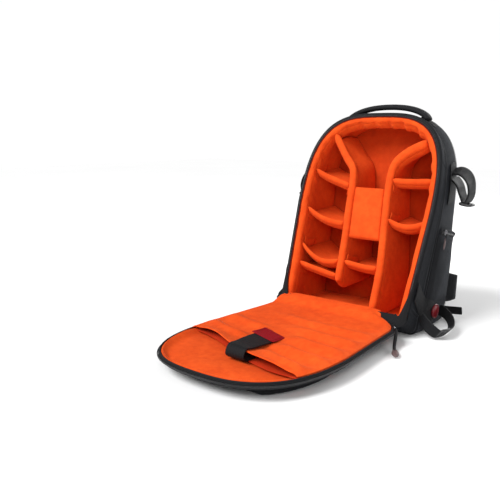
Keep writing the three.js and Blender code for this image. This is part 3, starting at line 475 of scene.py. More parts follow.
# Materials
class Graph:
    """The nodes of a material or world, with short ways to add and link them."""

    def __init__(self, owner, shader):
        owner.use_nodes = True
        self.tree = owner.node_tree
        self.shader = self.tree.nodes[shader]

    def fill(self, node, values):
        for key, value in values.items():
            if isinstance(value, bpy.types.NodeSocket):
                self.tree.links.new(value, node.inputs[key])
            else:
                node.inputs[key].default_value = (*value, 1) if isinstance(value, tuple) else value

    def set(self, values):
        self.fill(self.shader, values)

    def add(self, kind, values=(), output=0, **settings):
        node = self.tree.nodes.new("ShaderNode" + kind)
        for key, value in settings.items():
            setattr(node, key, value)
        self.fill(node, dict(values))
        return node.outputs[output]

    def math(self, op, *values):
        return self.add("Math", enumerate(values), operation=op)

    def times(self, a, b):
        return self.math("MULTIPLY", a, b)

    def weigh(self, a, a_weight, b, b_weight):
        return self.math("ADD", self.times(a, a_weight), self.times(b, b_weight))

    def noise(self, vector, scale, detail=3.0, rough=0.55):
        return self.add("TexNoise", {"Vector": vector, "Scale": scale, "Detail": detail, "Roughness": rough},
                        "Fac")

    def ramp(self, fac, *stops):
        colour = self.add("ValToRGB", {"Fac": fac}, "Color")
        elements = colour.node.color_ramp.elements
        while len(elements) < len(stops):
            elements.new(0.5)
        for e, (pos, rgb) in zip(elements, stops):
            e.position = pos
            e.color = (*rgb, 1)
        return colour

    def mix(self, fac, a, b):
        return self.add("Mix", {0: fac, 6: a, 7: b}, 2, data_type="RGBA")

    def bump(self, height, strength, distance, **normal):
        return self.add("Bump", {"Strength": strength, "Distance": distance, "Height": height, **normal},
                        "Normal")

    def lengths(self):
        """The cloth's own lengths along and across it."""
        u = self.add("SeparateXYZ", {0: self.add("UVMap", uv_map="cloth")})
        return u, u.node.outputs[1]

    def space(self):
        return self.add("TexCoord", output="Object")


def new_material(name, slot=None):
    m = bpy.data.materials.new(name)
    SLOT_OF[m.name] = slot
    return m, Graph(m, "Principled BSDF")


def weave(g, u, v, pitch):
    """Height of a plain weave with threads pitch metres apart: over in u where it is under in v."""
    su, sv = (g.math("SINE", g.times(way, pi / pitch)) for way in (u, v))
    over = g.math("GREATER_THAN", g.times(su, sv), 0.0)
    return g.weigh(g.math("ABSOLUTE", su), over, g.math("ABSOLUTE", sv), g.math("SUBTRACT", 1.0, over))


def woven(name, slot, dark, light, pitch, rough, sheen=0.0, tint=(1, 1, 1), mottle=0.5, depth=0.0004,
          strength=0.6):
    """Woven cloth: threads from the cloth's own lengths, faded patches and small slubs."""
    m, g = new_material(name, slot)
    space = g.space()
    height = weave(g, *g.lengths(), pitch)
    slub = g.noise(space, 900.0, 2.0, 0.6)
    tone = g.weigh(g.noise(space, 9.0, 4.0, 0.6), mottle, height, 1 - mottle)
    base = g.ramp(tone, (0.12, dark), (0.85, light))
    soft = g.bump(g.noise(space, 60.0, 3.0, 0.5), 0.25, 0.0012)
    g.set({"Base Color": g.mix(g.times(slub, 0.35), base, light),
           "Roughness": g.math("MULTIPLY_ADD", slub, 0.25, rough - 0.12),
           "Normal": g.bump(height, strength, depth, Normal=soft),
           "Sheen Weight": sheen, "Sheen Roughness": 0.45, "Sheen Tint": tint, "Specular IOR Level": 0.14})
    return m


def brushed(name, dark, mid, light, nap=1500.0):
    """Brushed loop cloth: a short matt nap with soft streaks where it has been stroked."""
    m, g = new_material(name, "orange_lining")
    space = g.space()
    stroke = g.noise(space, 70.0, 4.0, 0.65)
    fuzz = g.noise(space, nap, 2.0, 0.7)
    tone = g.weigh(g.noise(space, 14.0, 3.0, 0.55), 0.45, stroke, 0.55)
    base = g.ramp(tone, (0.3, dark), (0.5, mid), (0.72, light))
    g.set({"Base Color": g.mix(g.times(fuzz, 0.3), base, light),
           "Roughness": g.math("MULTIPLY_ADD", fuzz, 0.15, 0.78),
           "Normal": g.bump(fuzz, 0.5, 0.0004, Normal=g.bump(stroke, 0.22, 0.001)),
           "Sheen Weight": 0.08, "Sheen Roughness": 0.5, "Sheen Tint": (1.0, 0.42, 0.16),
           "Specular IOR Level": 0.12})
    return m


def ribbed(name, dark, light, pitch=0.0016, rough=0.6, row=0.0032):
    """Webbing: a herringbone of close ribs in rows, metres apart."""
    m, g = new_material(name, "webbing")
    u, v = g.lengths()
    fold = g.math("PINGPONG", g.math("ABSOLUTE", v), row)
    slant = g.math("ADD", u, g.times(fold, 0.9))
    rib = g.math("SINE", g.times(slant, 2 * pi / pitch))
    rows = g.math("ABSOLUTE", g.math("SINE", g.times(v, pi / row)))
    height = g.math("ADD", g.math("MULTIPLY_ADD", rib, 0.3, 0.3), g.times(rows, 0.4))
    wear = g.noise(g.space(), 30.0, 4.0, 0.6)
    g.set({"Base Color": g.ramp(g.weigh(height, 0.6, wear, 0.4), (0.2, dark), (0.85, light)),
           "Roughness": g.math("MULTIPLY_ADD", wear, 0.2, rough - 0.1),
           "Normal": g.bump(height, 0.7, 0.0005), "Sheen Weight": 0.02, "Specular IOR Level": 0.16})
    return m


def moulded(name, slot, colour, edge, rough, grain=420.0, depth=0.0002):
    """Moulded plastic or rubber: fine grain, handling marks that change its gloss."""
    m, g = new_material(name, slot)
    space = g.space()
    marks = g.noise(space, 45.0, 5.0, 0.7)
    g.set({"Base Color": g.ramp(marks, (0.3, colour), (0.75, edge)),
           "Roughness": g.math("MULTIPLY_ADD", marks, 0.25, rough - 0.12),
           "Normal": g.bump(g.noise(space, grain, 4.0, 0.6), 0.35, depth)})
    return m


CLOTH = "black_cloth"
BLACK = woven("pack_cloth", CLOTH, (0.003, 0.0031, 0.0035), (0.0125, 0.0128, 0.0145), 0.0011, 0.82, 0.05,
              (0.7, 0.8, 1.0))
MESH = woven("air_mesh", CLOTH, (0.006, 0.006, 0.007), (0.04, 0.042, 0.046), 0.0034, 0.85, 0.2, depth=0.0012,
             strength=0.9)
ORANGE = brushed("orange_velour", (0.58, 0.046, 0.005), (0.71, 0.071, 0.0078), (0.84, 0.106, 0.013))
# Darker orange for the back lining: painted shade at the back of the cells; its coarser nap is texture.
BACK_SHADE_CLOTH = brushed("orange_back_painted_shade", (0.42, 0.034, 0.004), (0.53, 0.046, 0.005), (0.64, 0.066, 0.009),
                     1100.0)
# Darker velour: painted shade for the slit under the flap sleeve's lip.
PAINTED_SHADE_VELOUR = brushed("painted_shade_velour", (0.28, 0.013, 0.002), (0.42, 0.022, 0.003), (0.54, 0.036, 0.005))
WEBBING = ribbed("black_webbing", (0.002, 0.002, 0.0025), (0.0105, 0.0107, 0.0122))
TAPE = ribbed("zip_tape", (0.004, 0.004, 0.0045), (0.016, 0.0165, 0.018), 0.0011, 0.7)
BINDING = woven("edge_binding", CLOTH, (0.004, 0.004, 0.0045), (0.018, 0.0185, 0.021), 0.0016, 0.7)
PLASTIC = moulded("black_plastic", "hard_plastic", (0.012, 0.012, 0.013), (0.03, 0.03, 0.033), 0.42)
COIL = moulded("zip_coil", "webbing", (0.01, 0.01, 0.011), (0.025, 0.025, 0.028), 0.35)
RUBBER = moulded("grey_rubber", "rubber_pull", (0.06, 0.036, 0.036), (0.17, 0.11, 0.108), 0.6)
METAL, graph = new_material("gun_metal", "hard_plastic")
metal_space = graph.space()
graph.set({"Metallic": 1.0,
           "Base Color": graph.ramp(graph.noise(metal_space, 120.0), (0.3, (0.10, 0.10, 0.11)),
                                    (0.7, (0.22, 0.22, 0.23))),
           "Roughness": graph.math("MULTIPLY_ADD", graph.noise(metal_space, 300.0), 0.25, 0.25)})
RED_TAB = woven("red_label", "red_tab", (0.13, 0.0015, 0.005), (0.33, 0.005, 0.013), 0.0007, 0.6, 0.03,
                (1, 0.2, 0.2), 0.6, 0.0002)
RED_BADGE = moulded("red_badge", "red_badge", (0.10, 0.0015, 0.005), (0.24, 0.005, 0.012), 0.34)
# Dark red for the rim's gap line: painted shade of the gap between the zip tape and the lining.
PAINTED_GAP_SHADE = woven("painted_gap_shade", "orange_lining", (0.10, 0.006, 0.003), (0.22, 0.014, 0.006), 0.0012, 0.8)
THREAD = moulded("black_thread", "webbing", (0.02, 0.021, 0.024), (0.06, 0.062, 0.068), 0.6)
ORANGE_THREAD = moulded("orange_thread", "orange_lining", (0.75, 0.09, 0.012), (0.95, 0.16, 0.03), 0.6)

# Cloth runs that are stepped together
queue = []


def puff(o, su, sv, hold, pressure=1.4, shrink=0.0, stiff=12, bend=1.0, cap=1.6, keep=None):
    """Has the cloth solver fill a slab. hold(place in s, t, face) is 1 where it is sewn down.
    cap is the furthest that a point may move, in millimetres."""
    pin = [hold(i / (len(su) - 1), t, side) for i in range(len(su)) for t in sv for side in range(2)]
    queue.append((o, np.clip(np.array(pin, float), 0, 1), pressure, shrink, stiff, bend, cap, keep))


def run_puffs(frames=16):
    if not queue:
        return
    rest = []
    for o, pin, pressure, shrink, stiff, bend, _, _ in queue:
        group = o.vertex_groups.new(name="sewn")
        for w in np.unique(np.round(pin, 2)):
            group.add(np.nonzero(np.round(pin, 2) == w)[0].tolist(), float(w), "REPLACE")
        rest.append(np.array([v.co for v in o.data.vertices], float))
        m = o.modifiers.new("fill", "CLOTH")
        o.modifiers.move(len(o.modifiers) - 1, 0)
        settings = dict(
            quality=5, mass=0.25, tension_stiffness=stiff, compression_stiffness=stiff,
            shear_stiffness=stiff * 0.5, bending_stiffness=bend, air_damping=3,
            use_pressure=True, uniform_pressure_force=pressure,
            vertex_group_mass="sewn", shrink_min=shrink)
        for key, value in settings.items():
            setattr(m.settings, key, value)
        m.settings.effector_weights.gravity = 0
        m.collision_settings.use_collision = False
        m.collision_settings.use_self_collision = False
        m.point_cache.frame_start, m.point_cache.frame_end = 1, frames
    subdivided = [(m, m.show_viewport) for o, *_ in queue for m in o.modifiers if m.type == "SUBSURF"]
    for m, _ in subdivided:
        m.show_viewport = False
    scene.frame_start, scene.frame_end = 1, frames
    for f in range(1, frames + 1):
        scene.frame_set(f)
    graph = bpy.context.evaluated_depsgraph_get()
    for (o, *_, cap, keep), before in zip(queue, rest):
        after = np.array([v.co for v in o.evaluated_get(graph).data.vertices], float)
        move = (after - before) / MM
        if keep is not None:
            move = keep(before / MM, move)
        size = np.linalg.norm(move, axis=1, keepdims=True)
        limit = cap * (1 - np.exp(-size / cap))
        move = np.where(size > 1e-6, move / np.maximum(size, 1e-6) * limit, 0.0)
        o.modifiers.remove(o.modifiers["fill"])
        o.vertex_groups.clear()
        o.data.vertices.foreach_set("co", (before + move * MM).astype(np.float32).ravel())
        o.data.update()
    for m, shown in subdivided:
        m.show_viewport = shown
    scene.frame_set(1)
    queue.clear()


# Outer shell
SEAM_SHARES = (0.815, REAR_SHARE * 0.62)
SEAM_U, FOOT_SEAM_U = 3.3, 2.08
SIDE_SPAN, ARCH_SPAN = 220, 230
SEAM_OFFSETS = (-8, -5.2, -3, -1.5, 0, 1.5, 3, 5.2, 8)
rear_shares = [REAR_SHARE * (1 - sin(radians(a))) for a in (90, 75, 60, 45, 30, 15)]
SHELL_SHARES = edged(rear_shares + list(np.linspace(REAR_SHARE, RIM_SHARE, 19)), 0, 1 / BODY_DEPTH)
SHELL_SHARES = with_marks(SHELL_SHARES, SEAM_SHARES[:1], [d / BODY_DEPTH for d in SEAM_OFFSETS])


def rim_fade(share):
    return min(1.0, (RIM_SHARE - share) * BODY_DEPTH / 8)


def shell_relief(u, share, seed):
    """Shallow waves and creases of stretched cloth with its sewn grooves, in millimetres."""
    x, y, z = skin(u, share, 0) * 0.01
    broad = 0.9 * wob(x * 0.9, y * 0.9, z * 0.6, seed)
    crease = 0.55 * (1 - abs(wob(x * 1.7, y * 2.6, z * 1.1, seed + 5)) * 2)
    value = 0.2 + broad + max(0.0, crease) * 0.8
    for g in SEAM_SHARES:
        d = (share - g) * BODY_DEPTH
        value += 0.8 * bell(d - 4.5, 2.5) + 0.8 * bell(d + 4.5, 2.5) - 1.5 * bell(d, 1.5)
    return max(-1.6, value)


def foot_relief(u):
    """The base's seam, just over the rounded lower corner."""
    d = (4 - abs(u - 4) - FOOT_SEAM_U) * SIDE_SPAN
    return 0.9 * bell(d - 4, 2.2) - 1.3 * bell(d, 1.6)


def shell_out(u, share, seed):
    return shell_relief(u, share, seed) + (foot_relief(u) if seed < 3 else 0)


def shell_piece(name, node, us, relief):
    def layer(u, share, h):
        return skin(u, share, h - SHELL_WALL + relief(u, share) * rim_fade(share) * h / SHELL_WALL)
    slab(name, layer, us, SHELL_SHARES, SHELL_WALL, BLACK, radius=1.6, node=node)


right_us = [*np.linspace(1, 2, 7), *np.linspace(2, 3, 25)[1:], *np.linspace(3, SEAM_U, 8)[1:]]
right_us = edged(right_us, 1 / REAR_ROUNDING, 1 / ARCH_SPAN)
right_us = with_marks(right_us, (FOOT_SEAM_U,), [d / SIDE_SPAN for d in SEAM_OFFSETS])
top_us = edged(np.linspace(SEAM_U, 8 - SEAM_U, 48), 1 / ARCH_SPAN, 1 / ARCH_SPAN)
shell_piece("pack_side_right", "side_panel_right", right_us, lambda u, v: shell_out(u, v, 1))
shell_piece("pack_side_left", "side_panel_left", 8 - right_us[::-1], lambda u, v: shell_out(u, v, 2))
shell_piece("pack_top", "top_panel", top_us, lambda u, v: shell_out(u, v, 3))
shell_piece("pack_base", "base_panel", edged(np.linspace(-1, 1, 13), 1 / 156, 1 / 156),
            lambda u, v: min(0.0, 0.25 * wob(u * 3, v * 4, 0, 4)))


def shell_line(places):
    """Points and outward directions on the dressed shell."""
    pts, nor = [], []
    for u, v in places:
        out = shell_out(u, v, 1 if u <= SEAM_U else 2 if u >= 8 - SEAM_U else 3) * rim_fade(v)
        pts.append(skin(u, v, out + 0.25))
        nor.append(unit(skin(u, v, 6) - skin(u, v, 0)))
    return pts, nor


spots = []
for g in SEAM_SHARES:
    for step in (-4.4, 4.4):
        spots += stitch_spots(*shell_line([(u, g + step / BODY_DEPTH) for u in np.linspace(1.15, 6.85, 200)]))
for u in (2.105, 8 - 2.105):
    spots += stitch_spots(*shell_line([(u, v) for v in np.linspace(0.12, 0.95, 60)]))
blocks("shell_stitching", spots, THREAD, CLOTH)


# Zip round the opening
def rim_point(u, inset, ahead):
    share = RIM_SHARE + (SEAM_GAP + ahead) / BODY_DEPTH
    x, h = outline_point(inset_size(section_size(share), inset), u)
    return place(x, h, share)


RIM_US = np.concatenate((np.linspace(2.04, 3, 40), np.linspace(3, 5, 120)[1:-1], np.linspace(5, 5.96, 40)))


def rim_band(name, profile, material, **more):
    loft(name, RIM_US, lambda u: [rim_point(u, i, d) for i, d in profile], material, 1.6, **more)


rim_band("rim_piping", [(2.9 + 2.7 * cos(a), 2.4 + 2.5 * sin(a)) for a in turns(12)], BINDING,
         slot="webbing", node="opening_rim")
rim_band("rim_tape", [(0.9, 5.1), (3.2, 5.3), (5.4, 5.4), (7.6, 5.2), (7.9, 5.7), (7.4, 6.2), (5.4, 6.5),
                      (3.2, 6.4), (0.9, 6.1), (0.4, 5.6)], TAPE)
coil_us = np.linspace(2.06, 5.94, 300)
nor = [unit(rim_point(u, 5.2, 9) - rim_point(u, 5.2, 4)) for u in coil_us]
blocks("rim_zip_coil", coil_spots([rim_point(u, 5.2, 6.4) for u in coil_us], nor, 3.4), COIL)
blocks("rim_stitching", stitch_spots([rim_point(u, 2.3, 6.2) for u in coil_us], nor, 3.6, 2.5, 0.5), THREAD)
# Thin dark red tube in the gap between the zip tape and the orange lining: painted shade of that gap.
rim_band("rim_painted_gap_shade", [(8.6 + 1.1 * cos(a), 4.6 + 1.1 * sin(a)) for a in turns(8)], PAINTED_GAP_SHADE)

# Padded lining of the opening
WALL_US = round_us(9, 5, 25, 120, 20, 5, 9)
FRONT_STEPS = (26, 21, 17, 15.4, 13.5, 11.6, 9.5, 6, 3.4, 1.4, 0.4, 0)
front_shares = [LINER_FRONT - d / BODY_DEPTH for d in FRONT_STEPS]
WALL_SHARES = np.array(list(np.linspace(REAR_SHARE, front_shares[0], 13))[:-1] + front_shares)


def wall_layer(u, share, h):
    """The inner face carries the gathers that the sewn front edge pulls into the foam round the arch."""
    back = (LINER_FRONT - share) * BODY_DEPTH
    arch = smooth((1.25 - abs(u - 4)) / 0.5)
    drift = 2.2 * wob(u * 2.5, 0, 0, 7)
    uneven = wob(u * 5, 1, 0, 8)
    fine = sin(u * 88 + drift) * (0.6 + 0.8 * uneven)
    ripple = sin(u * 46 + drift) * (0.55 + 0.6 * uneven) + 0.55 * fine
    gather = 4.0 * arch * ripple * bell(back - 22, 15)
    broad = 1.1 * wob(u * 3.2, share * 5, 0, 9) * smooth(back / 14)
    seam = -1.3 * bell(back - LINER_CREASE, 1.9)
    front = 1.1 * arch * ripple * bell(back - 3, 7) / BODY_DEPTH
    return skin(u, share + front, -INNER_INSET + h - (gather + broad + seam) * (LINER - h) / LINER)


def wall_hold(_, share, side):
    if side == 0:
        return 1.0 if share < 0.95 else 0.35
    return 0.96 - 0.9 * smooth((share - 0.62) / 0.25)


def wall_keep(before, move):
    """The rim may swell forwards and in, but not out into the zip."""
    inward = before * (-1, 0, -1) + (0, 0, 200)
    n = inward / np.maximum(np.linalg.norm(inward, axis=1, keepdims=True), 1e-6)
    return move - np.minimum(np.sum(move * n, axis=1, keepdims=True), 0.0) * n * 0.85


wall = slab("lining_wall", wall_layer, WALL_US, WALL_SHARES, LINER, ORANGE, radius=9.5, closed=True,
            open_back=True, node=("liner_right", "liner_left", "liner_top", "liner_base"))
puff(wall, WALL_US, WALL_SHARES, wall_hold, pressure=2.0, shrink=-0.01, stiff=9, bend=0.5, cap=4.0,
     keep=wall_keep)


def plate_layer(share_of, inset, relief):
    """Sheet that fills the bag's outline at a depth."""
    def layer(s, t, h):
        share = share_of(h)
        size = inset_size(section_size(share), inset)
        height = lerp(size[5] + 0.2, size[2] - 0.6, sin(t * pi / 2) ** 0.9 if t > 0 else 0)
        half = half_at(size, height)
        p = place(lerp(-half, half, s), height, share)
        p[1] += relief(p, h)
        return p
    return layer


REAR_FACE = REAR_SHARE - SEAM_GAP / BODY_DEPTH
PLATE_INSET = rear_inset(REAR_FACE - LINER_BACK / BODY_DEPTH) + SHELL_WALL + PLATE_CLEARANCE
back_lining = plate_layer(
    lambda h: REAR_FACE - (LINER_BACK - h) / BODY_DEPTH, PLATE_INSET,
    lambda p, h: (-1.2 * max(0.0, wob(p[0] * 0.012, p[2] * 0.012, 0, 9)) - 0.3) * (h / LINER_BACK))
# The back lining's darker orange is painted shade deep in the cells.
o = slab("lining_back", back_lining, (300, 18, 3), (420, 24, 3), LINER_BACK, BACK_SHADE_CLOTH, radius=3,
         node="liner_back")


# Dividers
def reach(point, direction, polygons):
    """Distance from a point to the nearest outline in a direction."""
    nearest = 1e9
    for a in polygons:
        e = np.roll(a, -1, axis=0) - a
        det = direction[0] * e[:, 1] - direction[1] * e[:, 0]
        ok = np.abs(det) > 1e-9
        dx, dh = a[:, 0] - point[0], a[:, 1] - point[1]
        safe = np.where(ok, det, 1)
        t = (dx * e[:, 1] - dh * e[:, 0]) / safe
        along = (dx * direction[1] - dh * direction[0]) / safe
        hit = t[ok & (t > 0) & (along >= 0) & (along <= 1)]
        if len(hit):
            nearest = min(nearest, hit.min())
    return nearest


def liner_polygon(share):
    size = inset_size(section_size(share), INNER_INSET + rear_inset(share))
    us = np.concatenate((np.linspace(0, 3, 24), np.linspace(3, 5, 50)[1:], np.linspace(5, 8, 24)[1:-1]))
    return np.array([outline_point(size, u) for u in us])


def plane_curve(rows, steps):
    """Curve in the opening's plane from shares of its half width and height."""
    points = [(a * OPENING_WIDTH / 2, h * OPENING_HEIGHT, 0) for a, h in rows]
    return curve_points(points, steps)[0][:, :2]


LEFT_LINE = [(-0.165, 0.155), (-0.185, 0.34), (-0.225, 0.54), (-0.25, 0.68), (-0.29, 0.735), (-0.42, 0.79),
             (-0.57, 0.862)]
RIGHT_LINE = [(0.4, 0.07), (0.4, 0.25), (0.34, 0.46), (0.29, 0.68), (0.32, 0.76), (0.46, 0.815), (0.7, 0.865)]


def band_outline(line, thick):
    pts = plane_curve(line, 40)
    d = tangents(pts)
    n = np.stack((-d[:, 1], d[:, 0]), axis=1) * thick / 2
    return np.concatenate((pts + n, (pts - n)[::-1]))


def inner_shares(front, radius, count, crease=None):
    """Depth stations of a board, closer at its front edge and at its sewn crease."""
    near = [radius * k for k in (1.9, 1.35, 1, 0.6, 0.3, 0.08, 0)]
    if crease:
        near = [crease + d for d in (5, 2.8, 1.3, 0, -1.3, -2.8)] + [d for d in near if d < crease - 3.4]
    near = [front - d / BODY_DEPTH for d in near]
    return np.array(list(np.linspace(REAR_SHARE, near[0], count))[:-1] + near)


def divider(name, node, line, start_open, seed, steps=30):
    pts = plane_curve(line, steps)
    ways = tangents(pts)
    first, last = 2, steps - 2
    ends = {}

    def stretch(share):
        key = round(share, 5)
        if key not in ends:
            poly = [liner_polygon(share)]
            start = 0.0 if start_open else reach(pts[first], -ways[1], poly) - 0.6
            ends[key] = start, reach(pts[last], ways[-2], poly) - 0.6
        return ends[key]

    def centre(s, share):
        start, end = stretch(share)
        x = s * steps
        if x <= first and not start_open:
            return pts[first] - ways[1] * start * (first - x) / 2, ways[1]
        if x >= last:
            return pts[last] + ways[-2] * end * (x - last) / 2, ways[-2]
        i = int(x)
        return lerp(pts[i], pts[i + 1], x - i), unit(lerp(ways[i], ways[i + 1], x - i))

    def layer(s, share, h):
        p, d = centre(s, share)
        back = (DIVIDER_FRONT - share) * BODY_DEPTH
        soft = 0.5 * bell(back - 5, 7) - 1.4 * bell(back - DIVIDER_CREASE, 1.5)
        wave = 0.6 * wob(p[0] * 0.012, p[1] * 0.012, share * 2, seed)
        off = (h - DIVIDER / 2) * (1 + 2 * soft / DIVIDER) + wave
        return place(p[0] - d[1] * off, p[1] + d[0] * off, share + 0.008 * wob(p[1] * 0.03, seed, 0, seed))

    def hold(i, share, side):
        back = (DIVIDER_FRONT - share) * BODY_DEPTH
        sewn = 0.9 if 12 < back < 17 or i < 0.02 or i > 0.98 else 0.15
        return 1.0 if back > HELD_DEPTH else sewn

    su, sv = edge_steps(420, 60, 3.0), inner_shares(DIVIDER_FRONT, DIVIDER / 2, 12, DIVIDER_CREASE)
    o = slab(name, layer, su, sv, DIVIDER, ORANGE, radius=DIVIDER / 2 - 0.5, open_back=True, node=node)
    puff(o, su, sv, hold)


divider("divider_left", "left_divider", LEFT_LINE, True, 11)
divider("divider_right", "right_divider", RIGHT_LINE, False, 12)
LEFT_BAND = band_outline(LEFT_LINE, DIVIDER)
RIGHT_BAND = band_outline(RIGHT_LINE, DIVIDER)
# Each shelf's place across, its two ends' heights and its sag, as shares of the opening
SHELVES = [
    ("left_shelf_1", -0.58, 0.713, 0.645, -0.004), ("left_shelf_2", -0.55, 0.51, 0.45, -0.018),
    ("left_shelf_3", -0.5, 0.322, 0.262, -0.036), ("left_shelf_4", -0.45, 0.226, 0.188, -0.002),
    ("centre_shelf", 0.1, 0.262, 0.25, -0.004), ("right_shelf_1", 0.55, 0.678, 0.683, -0.002),
    ("right_shelf_2", 0.58, 0.487, 0.487, -0.024),
]
walls_at = {}


def column(across, h, share):
    """The two ends of the free width round a place in the opening."""
    key = round(share, 5)
    if key not in walls_at:
        walls_at[key] = [liner_polygon(share), LEFT_BAND, RIGHT_BAND]
    x0 = across * OPENING_WIDTH / 2
    return x0 - reach((x0, h), (-1, 0), walls_at[key]) + 0.4, x0 + reach((x0, h), (1, 0), walls_at[key]) - 0.4


def shelf_piece(name, across, start, end, sag, seed):
    cache = {}

    def line(s, share):
        h = (lerp(start, end, s) + sag * 4 * s * (1 - s)) * OPENING_HEIGHT
        key = (round(s, 4), round(share, 5))
        if key not in cache:
            cache[key] = column(across, h, share)
        return lerp(*cache[key], s), h

    def layer(s, share, h):
        x, height = line(s, share)
        back = (SHELF_FRONT - share) * BODY_DEPTH
        soft = 0.2 * bell(back - 4, 4) - 1.3 * bell(back - SHELF_CREASE, 1.3)
        off = (h - SHELF / 2) * (1 + 2 * soft / SHELF) + 0.7 * wob(x * 0.03, share * 4, 0, seed)
        return place(x, height + off, share + 0.006 * wob(x * 0.04, seed, 0, seed))

    def hold(i, share, side):
        back = (SHELF_FRONT - share) * BODY_DEPTH
        sewn = 0.85 if 9 < back < 13 else 0.1
        return 1.0 if i < 0.03 or i > 0.97 or back > HELD_DEPTH else sewn

    su, sv = edge_steps(90, 14, 2.5), inner_shares(SHELF_FRONT, SHELF / 2, 10, SHELF_CREASE)
    o = slab("shelf_" + name, layer, su, sv, SHELF, ORANGE, radius=SHELF / 2 - 0.3, open_back=True, node=name)
    puff(o, su, sv, hold, cap=0.8)
    return line


tabs = []
tab_shares = inner_shares(SHELF_FRONT - 0.03, 2, 6)
tab_shares = tab_shares[tab_shares > 0.55]
for k, row in enumerate(SHELVES):
    line = shelf_piece(*row, 20 + k)
    for end, way in ((0, 1), (1, -1)):
        turn = -1 if (k + end) % 2 else 1

        def tab_layer(a, share, h):
            x, height = line(float(end), share)
            curl = 1.2 * a * a + 0.7 * wob(share * 14, a * 2, k, 30)
            return place(x + way * (0.6 + h + curl), height + turn * (SHELF / 2 + a * 15), share)
        tabs.append(slab(f"tab_{k}_{end}", tab_layer, (15, 4, 1), tab_shares, 1.8, ORANGE))
merge("divider_tabs", tabs)


def centre_layer(s, t, h):
    height = lerp(0.385, 0.635, t) * OPENING_HEIGHT
    left, right = column(0.1, height, SHELF_FRONT)
    crown = 2.0 * sin(pi * s) * sin(pi * t) ** 0.6 if h > CENTRE_PAD / 2 else 0
    return place(lerp(left + 0.3, right - 0.3, s), height,
                 SHELF_FRONT - (CENTRE_PAD - h - crown) / BODY_DEPTH)


o = slab("centre_flap", centre_layer, (70, 12, 4), (116, 16, 4), CENTRE_PAD, ORANGE, radius=4,
         node="centre_pad")

# Front flap
FLAP_SIZE = (OPENING_WIDTH / 2, FOOT_WIDTH / 2, FLAP_LENGTH, FLAP_CORNER, FLAP_POWER, 0.0)
FLAP_US = round_us(20, 14, 30, 90, 30, 14, 20)


def flap_point(u, inset, z):
    return flap_at(*outline_point(inset_size(FLAP_SIZE, inset), u), z)


def flap_edge_ring(u):
    x, y, _ = flap_point(u, 0, 0)
    soft = 0.5 * wob(x * 0.02, y * 0.02, 0, 41)
    low, top = FLAP_BOTTOM - 0.2, FLAP_TOP - 0.6
    profile = [(7, low), (4.2, low + 0.6), (1.6, low + 2.4), (0.1 - soft * 0.3, low + 4.6), (1.0, low + 5.6),
               (1.2, low + 11.4), (0.2 - soft * 0.4, low + 12.2), (0.1, top - 0.8), (1.2, top + 0.4),
               (2.8, top + 0.2), (3.8, top - 1.2), (4.2, low + 9), (5.4, low + 4.6), (7.5, low + 3)]
    return [flap_point(u, i, z) for i, z in profile]


def flap_plate(inset):
    """Maps 0..1 by 0..1 onto the flap's outline: x and the distance from the hinge."""
    inner = inset_size(FLAP_SIZE, inset)

    def at(s, t):
        d = lerp(inner[5] + 0.2, inner[2] - 0.6, sin(t * pi / 2))
        half = half_at(inner, d)
        return lerp(-half, half, s), d
    return at


floor_at = flap_plate(6)
loft("flap_edge", FLAP_US, flap_edge_ring, BINDING, closed=True, node="flap_panel")
slab("flap_floor", lambda s, t, h: flap_at(*floor_at(s, t), FLAP_BOTTOM + h), np.linspace(0, 1, 12),
     np.linspace(0, 1, 24), FLAP_FLOOR, BLACK, radius=0.6, node="flap_panel")


def mouth_at(x):
    return lerp(MOUTH_FAR, MOUTH_NEAR, smooth(1.25 * (x / OPENING_WIDTH + 0.5)))


# Each fold's two ends, its height and its width
FOLDS = (
    ((44, 320), (154, 347), 9.5, 14), ((50, 276), (162, 292), 9.0, 14), ((46, 226), (162, 238), 8.6, 15),
    ((10, 172), (158, 182), 7.4, 16), ((-50, 118), (152, 126), 6.0, 17), ((-154, 238), (-52, 268), 8.2, 14),
    ((-154, 178), (-56, 200), 6.6, 15),
)


def soft_folds(x, d):
    """Long soft folds that run from the slit towards the sides, in millimetres."""
    value = 0.0
    for (x0, d0), (x1, d1), size, width in FOLDS:
        length = hypot(x1 - x0, d1 - d0)
        ax, ad = (x1 - x0) / length, (d1 - d0) / length
        along = ((x - x0) * ax + (d - d0) * ad) / length
        off = (x - x0) * -ad + (d - d0) * ax - 6 * sin(pi * min(1, max(0, along)))
        ends = smooth((along + 0.25) / 0.5) * smooth((1.3 - along) / 0.4)
        value += size * ends * (bell(off, width) - 0.4 * bell(off + 1.5 * width, width * 0.7))
    return value


cushion_at = flap_plate(FLAP_WALL + 0.8)


def cushion_layer(s, t, h):
    x, d = cushion_at(s, t)
    inner = inset_size(FLAP_SIZE, FLAP_WALL + 0.8)
    edge = min(half_at(inner, min(max(d, inner[5] + 1), inner[2] - 1)) - abs(x), inner[2] - d, d - inner[5])
    bead = bell(edge - 3.5, 4.5) * 2.4
    dip = -LINING_DIP * smooth((edge - 5) / 16)
    under = smooth((mouth_at(x) - d) / 6)
    seam = -1.2 * bell(edge - 9, 1.6)
    swell = 2.6 * smooth(edge / 50) + 1.3 * wob(x * 0.011, d * 0.011, 0, 51)
    swell += 0.5 * wob(x * 0.035, d * 0.03, 0, 52)
    z = FLAP_TOP - 3.2 + bead + dip + seam + (1 - under) * swell - under - 2.2 * bell(mouth_at(x) - d, 16)
    return flap_at(x, d, z + h - 4)


o = slab("flap_cushion", cushion_layer, (320, 44, 4), np.linspace(0, 1, 64), 5, ORANGE, radius=3,
         node="flap_lining")
NEAR_CORNER = 66


def corner_cut(d):
    """How far the near corner's rounding takes the edge in, at a distance d from the hinge."""
    rest = max(0.0, NEAR_CORNER - max(d, 1.5))
    return NEAR_CORNER - sqrt(max(0.0, NEAR_CORNER ** 2 - rest ** 2))


